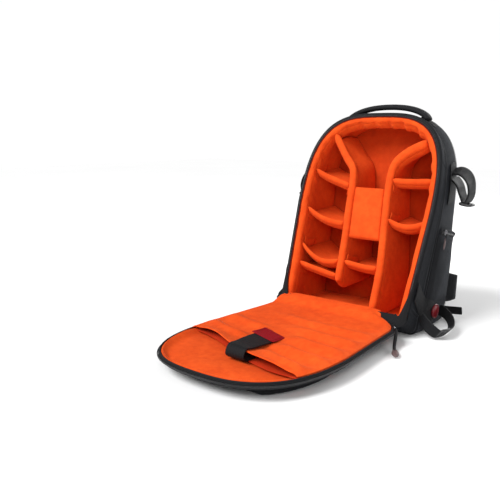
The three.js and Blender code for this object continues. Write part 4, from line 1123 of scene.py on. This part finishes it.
def sleeve_layer(s, t, h):
    inner = inset_size(FLAP_SIZE, 4.6)
    half_low = half_at(inner, 60)
    d = t * mouth_at(lerp(-half_low, half_low, s))
    half = half_at(inner, max(d, inner[5] + inner[3]))
    near = half - corner_cut(d)
    x = lerp(-half, near, s)
    d = t * mouth_at(x)
    edge = min(near - x, half + x)
    flat = smooth(edge / 30)
    mouth = mouth_at(x) - d
    rise = HINGE_RISE * smooth(1 - d / (POCKET_START + 0.7)) * smooth((near - x + 3) / 34)
    lift = 10 * bell(mouth, 24) * smooth(edge / 55) * (0.85 + 0.4 * wob(x * 0.018, 3, 0, 61))
    hem = 0.9 * bell(mouth - 2.5, 2.4) - 0.7 * bell(mouth - 7.5, 1.5)
    folds = soft_folds(x, d) * flat * smooth(mouth / 20 + 0.3)
    soft = flat * (1.6 * wob(x * 0.009, d * 0.009, 0, 62) + 0.5 * wob(x * 0.03, d * 0.025, 0, 63))
    sag = -1.5 * bell((x + 20) / 90, 1) * bell((d - 150) / 90, 1)
    sewn = -2.6 * bell(edge, 4.5) + 1.2 * bell(edge - 9, 4)
    z = FLAP_TOP + 1.6 + rise + lift + hem + folds + soft + sag
    return flap_at(x, d, max(z, FLAP_TOP + 0.6 + rise * 0.6) + sewn + h)


sleeve = slab("flap_sleeve_cloth", sleeve_layer, (330, 60, 1.4), (330, 66, 1.4), 2.6, ORANGE,
              radius=1.3, node="flap_sleeve")


def throat_layer(s, t, h):
    """Darker velour sheet under the sleeve's lip: painted shade in the slit's mouth."""
    half = half_at(inset_size(FLAP_SIZE, 14), 300)
    x = lerp(-half, half, s)
    return flap_at(x, mouth_at(x) - lerp(60, 3, t), FLAP_TOP - 6.1 + 0.8 * wob(x * 0.03, t, 0, 65) + h)


# This sheet's darker velour is painted shade under the sleeve's lip.
throat = slab("sleeve_mouth_painted_shade", throat_layer, (300, 30, 1), (57, 8, 1), 1.6, PAINTED_SHADE_VELOUR)


def hinge_strip_layer(s, t, h):
    """Cloth that runs from inside the bag over the hinge, and is sewn down under the flap's sleeve."""
    half = lerp(126, 150, smooth(t * 1.5))
    near = lerp(80, 122, t)
    x = lerp(-half, near, s)
    ends = smooth(min(half + x, near - x) / 22)
    inside = ((0.8, 0.86), (1.4, 0.94), (2.4 * ends, 0.985), (2.5 * ends - 1, 1.012))
    rows = [place(x, INNER_INSET + rise, share) for rise, share in inside]
    rows += [flap_at(x, d, FLAP_TOP + z) for d, z in ((5, 4 + 9.5 * ends), (18, 3 + 7.5 * ends), (36, 1.2))]
    p = curve_points(rows, 48)[0][int(round(t * 48))]
    p[2] += 1.3 * wob(x * 0.02, t * 2, 0, 71) * ends * (1 - t) + h
    return p


def corner_tape(name, sign):
    """Black tape that closes the lining's front at a lower corner, where the rim ends."""
    def layer(s, t, h):
        u = lerp(0.45, 2.42, s)
        cover = lerp(24.5, 3.0, smooth((u - 1.75) / 0.66))
        fade = smooth((u - 1.9) / 0.52)
        inset = lerp(lerp(-1.6, 1.8, fade), cover, t)
        front = lerp(5.4, 2.6, fade) - 3.0 * (1 - fade) * (1 - sin(pi * lerp(0.12, 0.9, t)))
        return skin(u if sign > 0 else 8 - u, 1.0 + (front + h) / BODY_DEPTH, -inset)
    slab(name, layer, (190, 30, 1), (26, 7, 1), 1.8, TAPE, radius=0.9)


corner_tape("corner_tape_right", 1)
corner_tape("corner_tape_left", -1)
strip = slab("hinge_cloth", hinge_strip_layer, (290, 34, 1.2), np.linspace(0, 1, 25), 2.4, ORANGE,
             radius=1.2, node="flap_hinge")

# Zip round the flap
flap_zip_us = np.linspace(1.5, 6.5, 400)
zip_low = FLAP_TOP - FLAP_ZIP_DROP - FLAP_ZIP_HEIGHT
zip_band = [(-0.2, 0), (-1.2, 0.3), (-1.4, 2.6), (-1.2, 5.4), (-1.4, FLAP_ZIP_HEIGHT - 0.4),
            (-0.2, FLAP_ZIP_HEIGHT), (1.2, FLAP_ZIP_HEIGHT - 0.3), (1.2, 0.3)]
loft("flap_zip_tape", flap_zip_us[::3], lambda u: [flap_point(u, i, zip_low + z) for i, z in zip_band], TAPE,
     node="flap_zip")
line = [flap_point(u, -1.9, zip_low + FLAP_ZIP_HEIGHT / 2) for u in flap_zip_us]
nor = [unit(flap_point(u, -6, 0) - flap_point(u, 0, 0)) for u in flap_zip_us]
blocks("flap_zip_coil", coil_spots(line, nor, 3.2), COIL)
line = [flap_point(u, 6.8, FLAP_TOP + 0.3) for u in np.linspace(1.0, 7.0, 400)]
blocks("flap_edge_stitching", stitch_spots(line, [UP] * len(line), 3.8, 2.6, 0.5), ORANGE_THREAD)


# Pockets under the flap
def pocket_piece(name, node, near, far):
    inner = inset_size(FLAP_SIZE, POCKET_MARGIN)

    def layer(s, t, h):
        d = lerp(near, far, t)
        half = half_at(inner, min(d, inner[2] - 1))
        x = lerp(-half, half, s)
        puffed = (h - FLAP_POCKET / 2) * (1 - 0.06 * wob(x * 0.02, d * 0.02, 0, 81))
        return flap_at(x, d, FLAP_POCKET / 2 + puffed)
    o = slab(name, layer, (280, 26, 8), (far - near, 18, 8), FLAP_POCKET, BLACK, radius=8, node=node)


pocket_piece("flap_pocket_lower", "front_pocket_lower", POCKET_START, POCKET_SPLIT)
pocket_piece("flap_pocket_upper", "front_pocket_upper", POCKET_SPLIT + POCKET_GAP, FLAP_LENGTH - POCKET_END)

# Closing strap of the flap sleeve, with its bare label
STRAP_WIDTH, STRAP_LENGTH, STRAP_INSIDE = 48, 119, 36
strap_mouth = mouth_at(14)
inside_z, over_z = FLAP_TOP - 4.6, FLAP_TOP + 11
strap_rows = [(-STRAP_INSIDE, inside_z, 0), (0, inside_z, 0), (10.5, inside_z + 2, 0.05),
              (16.5, lerp(inside_z, over_z, 0.55), 0.1), (9, over_z + 5.6, 0.15), (-15, over_z + 4.4, 0.3),
              (-64, over_z + 0.4, 0.6), (6 - STRAP_LENGTH, over_z - 4.6, 1)]
strap_path = [flap_at(lerp(14, 2, t), strap_mouth + b, z) for b, z, t in strap_rows]
strap_turn = [(1, 0, 0)] * 3 + [(0.98, -0.08, -0.06), (0.96, -0.16, -0.12), (0.95, -0.22, -0.16)]
strap_turn += [(0.94, -0.24, -0.18)] * 2
ribbon("sleeve_strap_webbing", strap_path, strap_turn, STRAP_WIDTH - 5, 3.2, 90, WEBBING, crown=0.5, sag=0.7,
       node="sleeve_strap")
strap_way = unit(strap_path[-1] - strap_path[-2])
label_top = strap_path[-1] + UP * (WEB / 2 + 1.5)
label_rows = ((-44, 0.6), (-30, 0.2), (-14, 0), (0, 0), (4, -0.4))
label_path = [label_top + strap_way * d + UP * z for d, z in label_rows]
label_wide = unit(np.array(strap_turn[-1]))
ribbon("strap_label", label_path, label_wide, 50, 1.6, 24, RED_TAB, node="sleeve_tab")
corners = [label_top + strap_way * d + label_wide * side + UP * 1.2
           for d, side in ((-41, -22), (1.0, -22), (1.0, 22), (-41, 22), (-41, -22))]
dense = [lerp(a, b, k / 10) for a, b in zip(corners, corners[1:]) for k in range(10)] + corners[-1:]
blocks("label_stitching", stitch_spots(dense, [UP] * len(dense), 3.0, 2.2, 0.5), RED_TAB)


def rubber_end(name, centre_at, radius, neck, wide, tall, flat, node=None):
    """Rubber end of a pull: narrow at its neck, round at its end."""
    rings = []
    for t in np.linspace(0, 1, 15):
        r = radius * sqrt(max(0.02, sin(pi * min(1, 0.1 + t * 0.9)))) * lerp(neck, 1.15, t)
        rings.append(oval(centre_at(t, r), wide * r, tall * (r * flat), 12))
    tube(name, rings, RUBBER, node=node)


# Pull of the main zip
pull_rows = [(1.5, 0, 1), (1.67, 0, .97), (1.83, .03, .78), (1.97, .2, .36), (2.06, .48, .06), (2.17, 1, 0)]
pull_path = [flap_point(u, -5.2 - out * 20, lerp(6.8, 27, up)) for u, out, up in pull_rows]
ribbon("zip_pull_web", pull_path, (0, 0, 1), 9, 6.4, 40, WEBBING, node="main_zip_pull")
pull_way = unit(pull_path[-1] - pull_path[-2])


def pull_centre(t, r):
    c = pull_path[-1] + pull_way * (34 * t - 16)
    c[2] = max(c[2], 5.4, r * 0.6 + 0.4)
    return c


rubber_end("main_pull_rubber", pull_centre, 8.2, 0.62, unit(np.cross(pull_way, UP)), UP, 0.6)
for k, (u, z, big) in enumerate(((1.5, 26, 1.45), (6.3, 27, 1))):
    c = flap_point(u, -2.6 * big, z)
    n = unit(flap_point(u, -8, z) - c)
    d = unit(flap_point(u + 0.02, -2.6, z) - flap_point(u - 0.02, -2.6, z))
    blocks(f"flap_slider_{k + 1}", [(c, d, UP, n, (15 * big, 8.4 * big, 3.4 * big)),
                                    (c + n * 2.2 * big, d, UP, n, (9 * big, 4.4 * big, 2.2 * big)),
                                    (c + n * 3.6 * big - d * 5, d, UP, n, (15, 3.4, 1.5))], METAL)

# Side pockets, loops, buckles and gussets
POCKET_LOW, POCKET_HIGH, POCKET_WIDE, POCKET_TALL = 58.2, 221.8, 126, 164


def pocket_bulge(share, h):
    a = (share - REAR_SHARE) / (NOSE_START - REAR_SHARE)
    b = (h - POCKET_LOW) / (POCKET_HIGH - POCKET_LOW)
    return 9 * lerp(0.45, 1, max(0.0, sin(pi * a)) * max(0.0, sin(pi * lerp(0.08, 0.94, b))))


def pocket_top(share):
    return lerp(202, 228, (share - REAR_SHARE) / (NOSE_START - REAR_SHARE))


def pocket_line(sign, start, end, count, drop, out):
    return [side_face(sign, v, pocket_top(v) - drop, out) for v in np.linspace(start, end, count)]


def ladder_buckle(name, centre, along, out, width, length=30, thick=6.0, node=None):
    """Frame with two bars and rounded rails. along runs down the strap, out away from the bag."""
    along, out = unit(np.asarray(along, float)), unit(np.asarray(out, float))
    out = unit(out - along * np.dot(out, along))
    across = np.cross(along, out)
    half_w, half_l, rail = width / 2, length / 2, 3.4
    rings = []
    for x, y in squircle(32, 5):
        x, y = x * (half_w - rail / 2), y * (half_l - rail / 2)
        p = centre + across * x + along * y - out * (1.2 * (y / half_l) ** 2)
        n = unit(across * x / half_w ** 2 + along * y / half_l ** 2)
        rings.append(oval(p, n * (rail / 2), out * (thick / 2 * 0.9), 10))
    parts = [tube(name + "_frame", rings, PLASTIC, closed=True)]
    for k, (y, w, z) in enumerate(((-half_l * 0.34, 3.6, 0.4), (half_l * 0.3, 4.2, 0.8))):
        rings = [oval(centre + across * x + along * y + out * z, along * (w / 2), out * (thick * 0.32), 8)
                 for x in np.linspace(2 - half_w, half_w - 2, 9)]
        parts.append(tube(f"{name}_bar_{k + 1}", rings, PLASTIC))
    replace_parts(merge(name, parts), node)


# A loop's points. Upper: out from the bag, down, lean. Lower: out, along the bag, height, lean.
UPPER_ROWS = [(0, .06, .4), (.30, .02, .4), (.64, .12, .35), (.90, .40, .15), (.95, .80, 0), (.78, 1.0, 0),
              (.56, .76, 0), (.34, .44, .1), (.02, .22, .2)]
LOWER_ROWS = [(.02, .12, 38, 0), (.36, .16, 33, .12), (.74, .32, 24, .5), (.96, .6, 16, .9),
              (1.02, .92, 13.8, 1.1), (.86, 1.24, 14.6, 1.0), (.46, 1.3, 28, .4), (.02, 1.2, 43, 0)]
BADGE_ROWS = ((15.2, -5.0), (15.8, 0.6), (15.3, 2.0), (14.3, 2.6), (13.2, 2.3), (12.5, 1.4), (11.4, 1.3),
              (6.0, 1.9), (0.4, 2.1))
LOOP_HEIGHT, LOOP_SHARE, LOOP_DROP, LOOP_REACH = 345.1, 0.44, 68, 44
UPPER_BUCKLE_DROP, UPPER_BUCKLE_OUT, LOWER_BUCKLE_HEIGHT = 72.2, 36, 14.8
LOWER_REACH = {1: 46, -1: 20}
SLIDER_SHARE, SLIDER_HEIGHT, SIDE_ZIP_DROP = 0.665, 218, 7
BADGE_SHARE, BADGE_HEIGHT = 0.555, 45


def side_pocket(sign, side):
    """A puffed sheet over the shell, with its zip, hem and cord pull."""
    def pocket_layer(s, t, h):
        share = lerp(0.11, NOSE_START, s)
        height = lerp(POCKET_LOW, pocket_top(share), t)
        near, low = min(s, 1 - s) * POCKET_WIDE, min(t, 1 - t) * POCKET_TALL
        mouth = smooth((t - 0.86) / 0.12)
        edge = smooth((near + 9 * mouth) / 12) * lerp(smooth(low / 18), 0.72, mouth)
        folds = 0.9 * wob(share * 6, height * 0.02, sign, 91)
        folds += 0.9 * (1 - abs(wob(share * 3, height * 0.035, sign, 92)) * 3)
        out = 2.6 + (1.15 * pocket_bulge(share, height) - 2) * edge + folds * edge
        out += 1.2 * bell((t - 0.975) * POCKET_TALL, 2.6) - 1.6 * bell((t - 0.93) * POCKET_TALL, 2.0)
        out += 4.5 * mouth * smooth((0.32 - share) / 0.2)
        return side_face(sign, share, height, max(1.6, out) - 2.4 + h)
    o = slab(f"side_pocket_cloth_{side}", pocket_layer, (POCKET_WIDE, 26, 1.4),
             (POCKET_TALL, 32, 1.4), 2.4, BLACK, radius=1.2, node="side_pocket_" + side)
    ends = lerp(REAR_SHARE, NOSE_START, 0.03), lerp(REAR_SHARE, NOSE_START, 0.97), 60, SIDE_ZIP_DROP
    zip_line = pocket_line(sign, *ends, 6.4)
    zip_out = [unit(far - p) for p, far in zip(zip_line, pocket_line(sign, *ends, 12))]
    tape_path = pocket_line(sign, REAR_SHARE + 0.02, NOSE_START - 0.02, 14, SIDE_ZIP_DROP, 5.4)
    ribbon(f"side_zip_tape_{side}", tape_path, (0, 0.05, 1), 10, 1.4, 50, TAPE)
    blocks(f"side_zip_coil_{side}", coil_spots(zip_line, zip_out, 3.4), COIL)
    hem_path = pocket_line(sign, REAR_SHARE - 0.01, NOSE_START - 0.01, 12, 1.5, 5.2)
    ribbon(f"side_pocket_hem_{side}", hem_path, (0, 0.05, 1), 6.4, 2.4, 30, BINDING, slot="webbing")
    top = side_face(sign, SLIDER_SHARE, SLIDER_HEIGHT, 9.4)
    out = unit(side_face(sign, SLIDER_SHARE, SLIDER_HEIGHT, 20) - top)
    down = unit(side_face(sign, 0.65, 180, 9.4) - top)
    across = np.cross(out, down)
    blocks(f"side_slider_{side}", [(top, across, down, out, (7.5, 11, 3.2)),
                                   (top + out * 2.4, across, down, out, (3.6, 8, 2.4))], METAL)
    cord_path = [top + out * a + down * b for a, b in ((3, 2), (3.2, 9), (2.4, 18), (1.8, 24))]
    ribbon(f"pull_cord_{side}", cord_path, across, 3.0, 2.2, 20, WEBBING)
    rubber_end(f"pull_rubber_{side}", lambda t, r: top + out * lerp(2.3, 1.6, t) + down * lerp(12, 37, t),
               3.6, 0.72, across, out, 0.55, "pocket_pull_" + side)


def upper_loop(sign, side):
    """Webbing loop high on the side, with its buckle and sewn patch."""
    pts = [side_face(sign, LOOP_SHARE, LOOP_HEIGHT - drop * LOOP_DROP, 0.6)
           + vec(sign * out * LOOP_REACH, 0, 0) for out, drop, _ in UPPER_ROWS]
    ribbon(f"upper_loop_{side}", pts, [(0, 1, lean) for *_, lean in UPPER_ROWS], 39, 4.6, 54, WEBBING,
           sag=0.6, node="upper_strap_" + side)
    c = side_face(sign, LOOP_SHARE, LOOP_HEIGHT - UPPER_BUCKLE_DROP, 0)
    c[0] += sign * UPPER_BUCKLE_OUT
    ladder_buckle(f"upper_ladder_{side}", c, (sign, 0, -0.12), (0, 0, -1), 31, node="upper_buckle_" + side)

    def patch_layer(s, t, h):
        return side_face(sign, LOOP_SHARE + lerp(-0.16, 0.2, s), LOOP_HEIGHT + lerp(-70, 16, t),
                         1.2 + 1.4 * h)
    slab(f"loop_patch_{side}", patch_layer, (70, 8, 1), (86, 8, 1), 1.6, WEBBING, radius=0.8)
    wide, tall = np.linspace(0.05, 0.95, 12), np.linspace(0.07, 0.93, 10)
    border = [(s, 0.07) for s in wide] + [(0.95, t) for t in tall]
    border += [(s, 0.93) for s in wide[::-1]] + [(0.05, t) for t in tall[::-1]]
    line = [patch_layer(s, t, 1.9) for s, t in border]
    outs = [unit(patch_layer(s, t, 8) - p) for (s, t), p in zip(border, line)]
    blocks(f"patch_stitching_{side}", stitch_spots(line, outs, 3.6, 2.6, 0.6), THREAD)


def lower_loop(sign, side):
    """Webbing loop at the lower front corner, with its buckle, cloth wing and bare round badge."""
    pts = []
    for out, along, high, _ in LOWER_ROWS:
        share = lerp(0.26, 0.7, along)
        x = side_face(sign, min(share, 0.7), 30, 0)[0] + sign * (2.1 + out * LOWER_REACH[sign])
        pts.append(vec(x, place(0, 0, share)[1], high))
    ribbon(f"lower_loop_{side}", pts, [(sign * lean, 0, 1) for *_, lean in LOWER_ROWS], 25, 3.2, 64, WEBBING,
           sag=0.3, node="lower_strap_" + side)
    chord = unit(pts[5] - pts[4])
    normal = unit(np.cross(chord, vec(sign * 1.05, 0, 1.0)))
    normal = normal if normal[0] * sign > 0 else -normal
    mid = (pts[4] + pts[5]) / 2 + normal * 4.2
    mid[2] = LOWER_BUCKLE_HEIGHT
    ladder_buckle(f"lower_ladder_{side}", mid, chord, normal, 29, node="lower_buckle_" + side)

    def gusset_layer(s, t, h):
        share = lerp(0.972, lerp(0.36, 0.60, s), t)
        height = lerp(lerp(97, 56, s), lerp(44, 15, s), t)
        lift = 2.2 + 1.8 * sin(pi * s) + 0.9 * wob(s * 2, t * 3, sign, 95)
        over_pocket = 5.0 * smooth((height - 50) / 12) * smooth((0.80 - share) / 0.05) * (1 - s)
        return side_face(sign, share, height, lift + over_pocket + h)
    g = slab(f"corner_gusset_{side}", gusset_layer, (46, 8, 1.2), (120, 18, 1.2), 2.0, WEBBING,
             radius=1, slot=CLOTH)
    c = side_face(sign, BADGE_SHARE, BADGE_HEIGHT, 8.0)
    out = unit(side_face(sign, BADGE_SHARE, BADGE_HEIGHT, 18) - c)
    rise = unit(side_face(sign, BADGE_SHARE, BADGE_HEIGHT + 15, 8.0) - c)
    rings = [oval(c + out * z, rise * r, np.cross(out, rise) * r, 32) for r, z in BADGE_ROWS]
    tube(f"round_badge_{side}", rings, RED_BADGE, node="badge_" + side)


for sign, side in SIDES:
    side_pocket(sign, side)
    upper_loop(sign, side)
    lower_loop(sign, side)

# Top handle: a cloth-covered grip with sewn ends
HANDLE_SPAN, HANDLE_RISE, HANDLE_WIDTH, HANDLE_SHARE = 0.35, 18, 26, 0.6
handle_path = [skin(4 + lerp(-HANDLE_SPAN, HANDLE_SPAN, t), HANDLE_SHARE,
                    HANDLE_RISE * sin(pi * t) ** 0.62 + 3.0)
               for t in np.linspace(0, 1, 25)]
ribbon("top_grip", handle_path, (0, 1, 0.05), HANDLE_WIDTH, 10.4, 60, BINDING, crown=1.2, slot="webbing",
       node="top_handle")
for k, u in enumerate((4 - HANDLE_SPAN, 4 + HANDLE_SPAN)):
    def anchor_layer(s, t, h):
        return skin(u + lerp(-0.07, 0.07, s), HANDLE_SHARE + lerp(-0.1, 0.1, t), 1.0 + h)
    slab(f"grip_patch_{k + 1}", anchor_layer, (34, 6, 1), (40, 6, 1), 1.8, WEBBING, radius=0.9)


# Back: padded panel with channels
CHANNEL_HEIGHTS = (118, 196, 274, 352)


def back_relief(p, h):
    if h < BACK_PAD * 0.5:
        return 0.0
    x, z = p[0], p[2]
    groove = max([bell(x, 11)] + [bell(z - row - 10 * abs(x) / 100, 7) for row in CHANNEL_HEIGHTS])
    edge = min(abs(half_at(section_size(0.0), min(440, z)) - abs(x)) / 30, 1)
    pads = (2.6 - 6.2 * groove) * smooth(edge)
    return pads * smooth((h - BACK_PAD * 0.5) / (BACK_PAD * 0.5)) + 0.8 * wob(x * 0.02, z * 0.02, 0, 97)


def piping_ring(u):
    back_size = inset_size(section_size(0.0), REAR_ROUNDING + 2.2)
    ring = []
    for a in turns(10):
        x, h = outline_point(inset_size(back_size, 2.9 * cos(a)), u)
        ring.append(place(x, h, (-1.6 + 2.9 * sin(a)) / BODY_DEPTH))
    return ring


back_layer = plate_layer(lambda h: (7.0 - h) / BODY_DEPTH, REAR_ROUNDING + 1.6, back_relief)
back_panel = slab("back_padding", back_layer, (270, 38, 6), (380, 48, 6), BACK_PAD, MESH, radius=7,
                  node="back_panel")
loft("back_piping", round_us(12, 9, 14, 70, 14, 9, 12), piping_ring, BINDING, 1.8, closed=True)

# Harness
# A shoulder pad's points: down, out from the back and aside, as shares of its drop, reach and spread
PAD_ROWS = [(.03, 0, 0), (-.05, .12, 0), (-.08, .5, 0), (.02, .86, .02), (.25, 1, .1), (.5, .98, .3),
            (.78, .66, .62), (1, .22, .86)]
PAD_TOP, PAD_DROP, PAD_REACH, PAD_X, FOOT_X, FOOT_HEIGHT = 383.9, 215, 42, 62, 104, 115.9
ACROSS = (1, 0, 0)
LIFTER_ROWS = ((415.9, 2.4), (419, 14.7), (391.6, 53.2), (349.5, 56.1))
WING_START, WING_END = 84, 175
BELT_ROWS = ((93, 22, 4.5), (120, 18, 6.5), (150, 17, 7.0), (194, 21, 5.5))


def rearward(v):
    return v if v[1] > 0 else -v


def shoulder_strap(sign, side):
    path = [behind(sign * lerp(PAD_X, FOOT_X, aside / 2), PAD_TOP - drop * PAD_DROP, 7.4 + out * PAD_REACH)
            for drop, out, aside in PAD_ROWS]
    pad = ribbon(f"shoulder_padding_{side}", path, ACROSS, 60, 12, 90, MESH, crown=1.6, sag=0.8,
                 node="shoulder_pad_" + side)
    fine, _ = curve_points(path, 110)
    tang = tangents(fine)
    some = range(2, 109, 6)
    for e, off in ((1, 28.5), (2, -28.5)):
        pts, length = curve_points([fine[k] + vec(off, 0, 0) for k in some], 60)
        rings = [oval(p, vec(2.6, 0, 0), np.cross(t, ACROSS) * 7.0, 10) for p, t in zip(pts, tangents(pts))]
        tube(f"pad_binding_{side}_{e}", rings, BINDING,
             uvs=[(k / 60 * length * MM, q * 0.0016) for k in range(61) for q in range(10)])
    web_path = [fine[k] + rearward(np.cross(tang[k], ACROSS)) * 7.6 for k in range(46, 109, 6)]
    ribbon(f"pad_webbing_{side}", web_path, ACROSS, 25, 2.0, 40, WEBBING)
    tip, way = fine[-1], unit(fine[-1] - fine[-4])
    foot, mid = behind(sign * FOOT_X, FOOT_HEIGHT, 4), tip + way * 26
    web = [tip - way * 6, tip + way * 6, mid, lerp(mid, foot, 0.5) + vec(0, 4, -4), foot]
    ribbon(f"harness_webbing_{side}", web, ACROSS, 24, WEB, 50, WEBBING, sag=0.4, node="harness_web_" + side)
    out = rearward(np.cross(way, ACROSS))
    ladder_buckle(f"pad_adjuster_{side}", tip + way * 14 + out * 4.6, way, out, 32, 26, 5, "adjuster_" + side)
    ribbon(f"lifter_webbing_{side}", [behind(sign * PAD_X, h, out) for h, out in LIFTER_ROWS], ACROSS, 18,
           2.0, 50, WEBBING, node="load_lifter_" + side)


def waist_belt(sign, side):
    def wing_layer(s, t, h):
        x = lerp(WING_START, WING_END, s)
        drop = 0.14 * (x - WING_START)
        height = lerp(38 - drop * 0.3 + 16 * smooth((x - 150) / 40), 108 - drop * 0.6, t)
        return behind(sign * x, height, 1.0 + h + 1.5 * sin(pi * s))
    wing = slab(f"waist_padding_{side}", wing_layer, (91, 16, 5), (56, 10, 5), 12, MESH, radius=5,
                node="waist_wing_" + side)
    ribbon(f"belt_webbing_{side}", [behind(sign * x, h, out) for x, h, out in BELT_ROWS], (0, 0, 1), 18, WEB,
           40, WEBBING, sag=0.4, node="belt_web_" + side)


for sign, side in SIDES:
    shoulder_strap(sign, side)
    waist_belt(sign, side)

CHEST_HEIGHT, CHEST_OUT = PAD_TOP - 0.36 * PAD_DROP, PAD_REACH + 16.8
chest_rows = ((-77.5, 0, 0), (-40, 4, 1.4), (0, 7, 2), (40, 4, 1.4), (77.5, 0, 0))
ribbon("chest_webbing", [behind(x, CHEST_HEIGHT - drop, CHEST_OUT + out) for x, drop, out in chest_rows],
       (0, 0.1, 1), 18, 2.0, 40, WEBBING, sag=0.3, node="sternum_strap")
c = behind(0, CHEST_HEIGHT - 7, CHEST_OUT + 4)
buckle_out, buckle_up = vec(0, 1.0, 0.1), vec(0, -0.1, 1.0)
rings = [[c + vec(x, 0, 0) + buckle_up * (a * w) + buckle_out * (b * z) for a, b in squircle(16, 3.2)]
         for x, w, z in ((-17, 7.5, 2.4), (-15.5, 10, 3.2), (-9, 11, 3.6), (-7, 11.6, 3.7), (-1, 12, 3.8),
                         (6, 12, 3.8), (9, 9.4, 3.5), (13, 9.8, 3.3), (16.5, 8.2, 2.6))]
tube("chest_buckle", rings, PLASTIC, node="sternum_buckle")

run_puffs()


# Camera at the photograph's angle
def add_object(name, data):
    o = bpy.data.objects.new(name, data)
    scene.collection.objects.link(o)
    return o


cam = add_object("camera", bpy.data.cameras.new("camera"))
scene.camera = cam
cam.location = (0.69046, -1.22382, 0.42108)
cam.rotation_euler = (radians(79.23), 0.0, radians(39.37))
cam.data.lens, cam.data.sensor_width = 45.17, 36.0
cam.data.clip_start = 0.02

# Pale floor and soft studio light
floor = add_object("floor", bpy.data.meshes.new("floor"))
floor.data.from_pydata([(-6, -6, 0), (6, -6, 0), (6, 6, 0), (-6, 6, 0)], [], [(0, 1, 2, 3)])
floor_material, graph = new_material("pale_floor")
graph.set({"Base Color": graph.ramp(graph.noise(graph.space(), 1.5), (0.3, (0.94, 0.94, 0.94)),
                                    (0.7, (0.96, 0.96, 0.96))),
           "Roughness": 0.9, "Specular IOR Level": 0.0})
floor.data.materials.append(floor_material)

world = bpy.data.worlds.new("studio")
scene.world = world
graph = Graph(world, "Background")
graph.set({"Color": (1, 1, 1),
           "Strength": graph.math("MULTIPLY_ADD", graph.add("LightPath", output="Is Camera Ray"), 0.74,
                                  0.27)})


def area_light(name, where, target, size, energy):
    data = bpy.data.lights.new(name, "AREA")
    data.shape = "RECTANGLE"
    data.size, data.size_y = size
    data.energy = energy
    o = add_object(name, data)
    o.location = where
    o.rotation_euler = (Vector(target) - Vector(where)).to_track_quat("-Z", "Y").to_euler()


sun = add_object("sun", bpy.data.lights.new("sun", "SUN"))
sun.data.energy = 3.5
sun.data.angle = radians(34)
sun.rotation_euler = Vector((-0.30, -0.62, 0.66)).to_track_quat("Z", "Y").to_euler()
area_light("front", (1.0, -1.7, 1.0), (0, 0, 0.2), (0.7, 0.7), 9)
area_light("side", (2.0, 0.3, 0.9), (0, 0, 0.25), (0.8, 1.2), 7)
area_light("rear", (0.5, 2.2, 1.3), (0, 0.1, 0.25), (1.2, 1.2), 38)
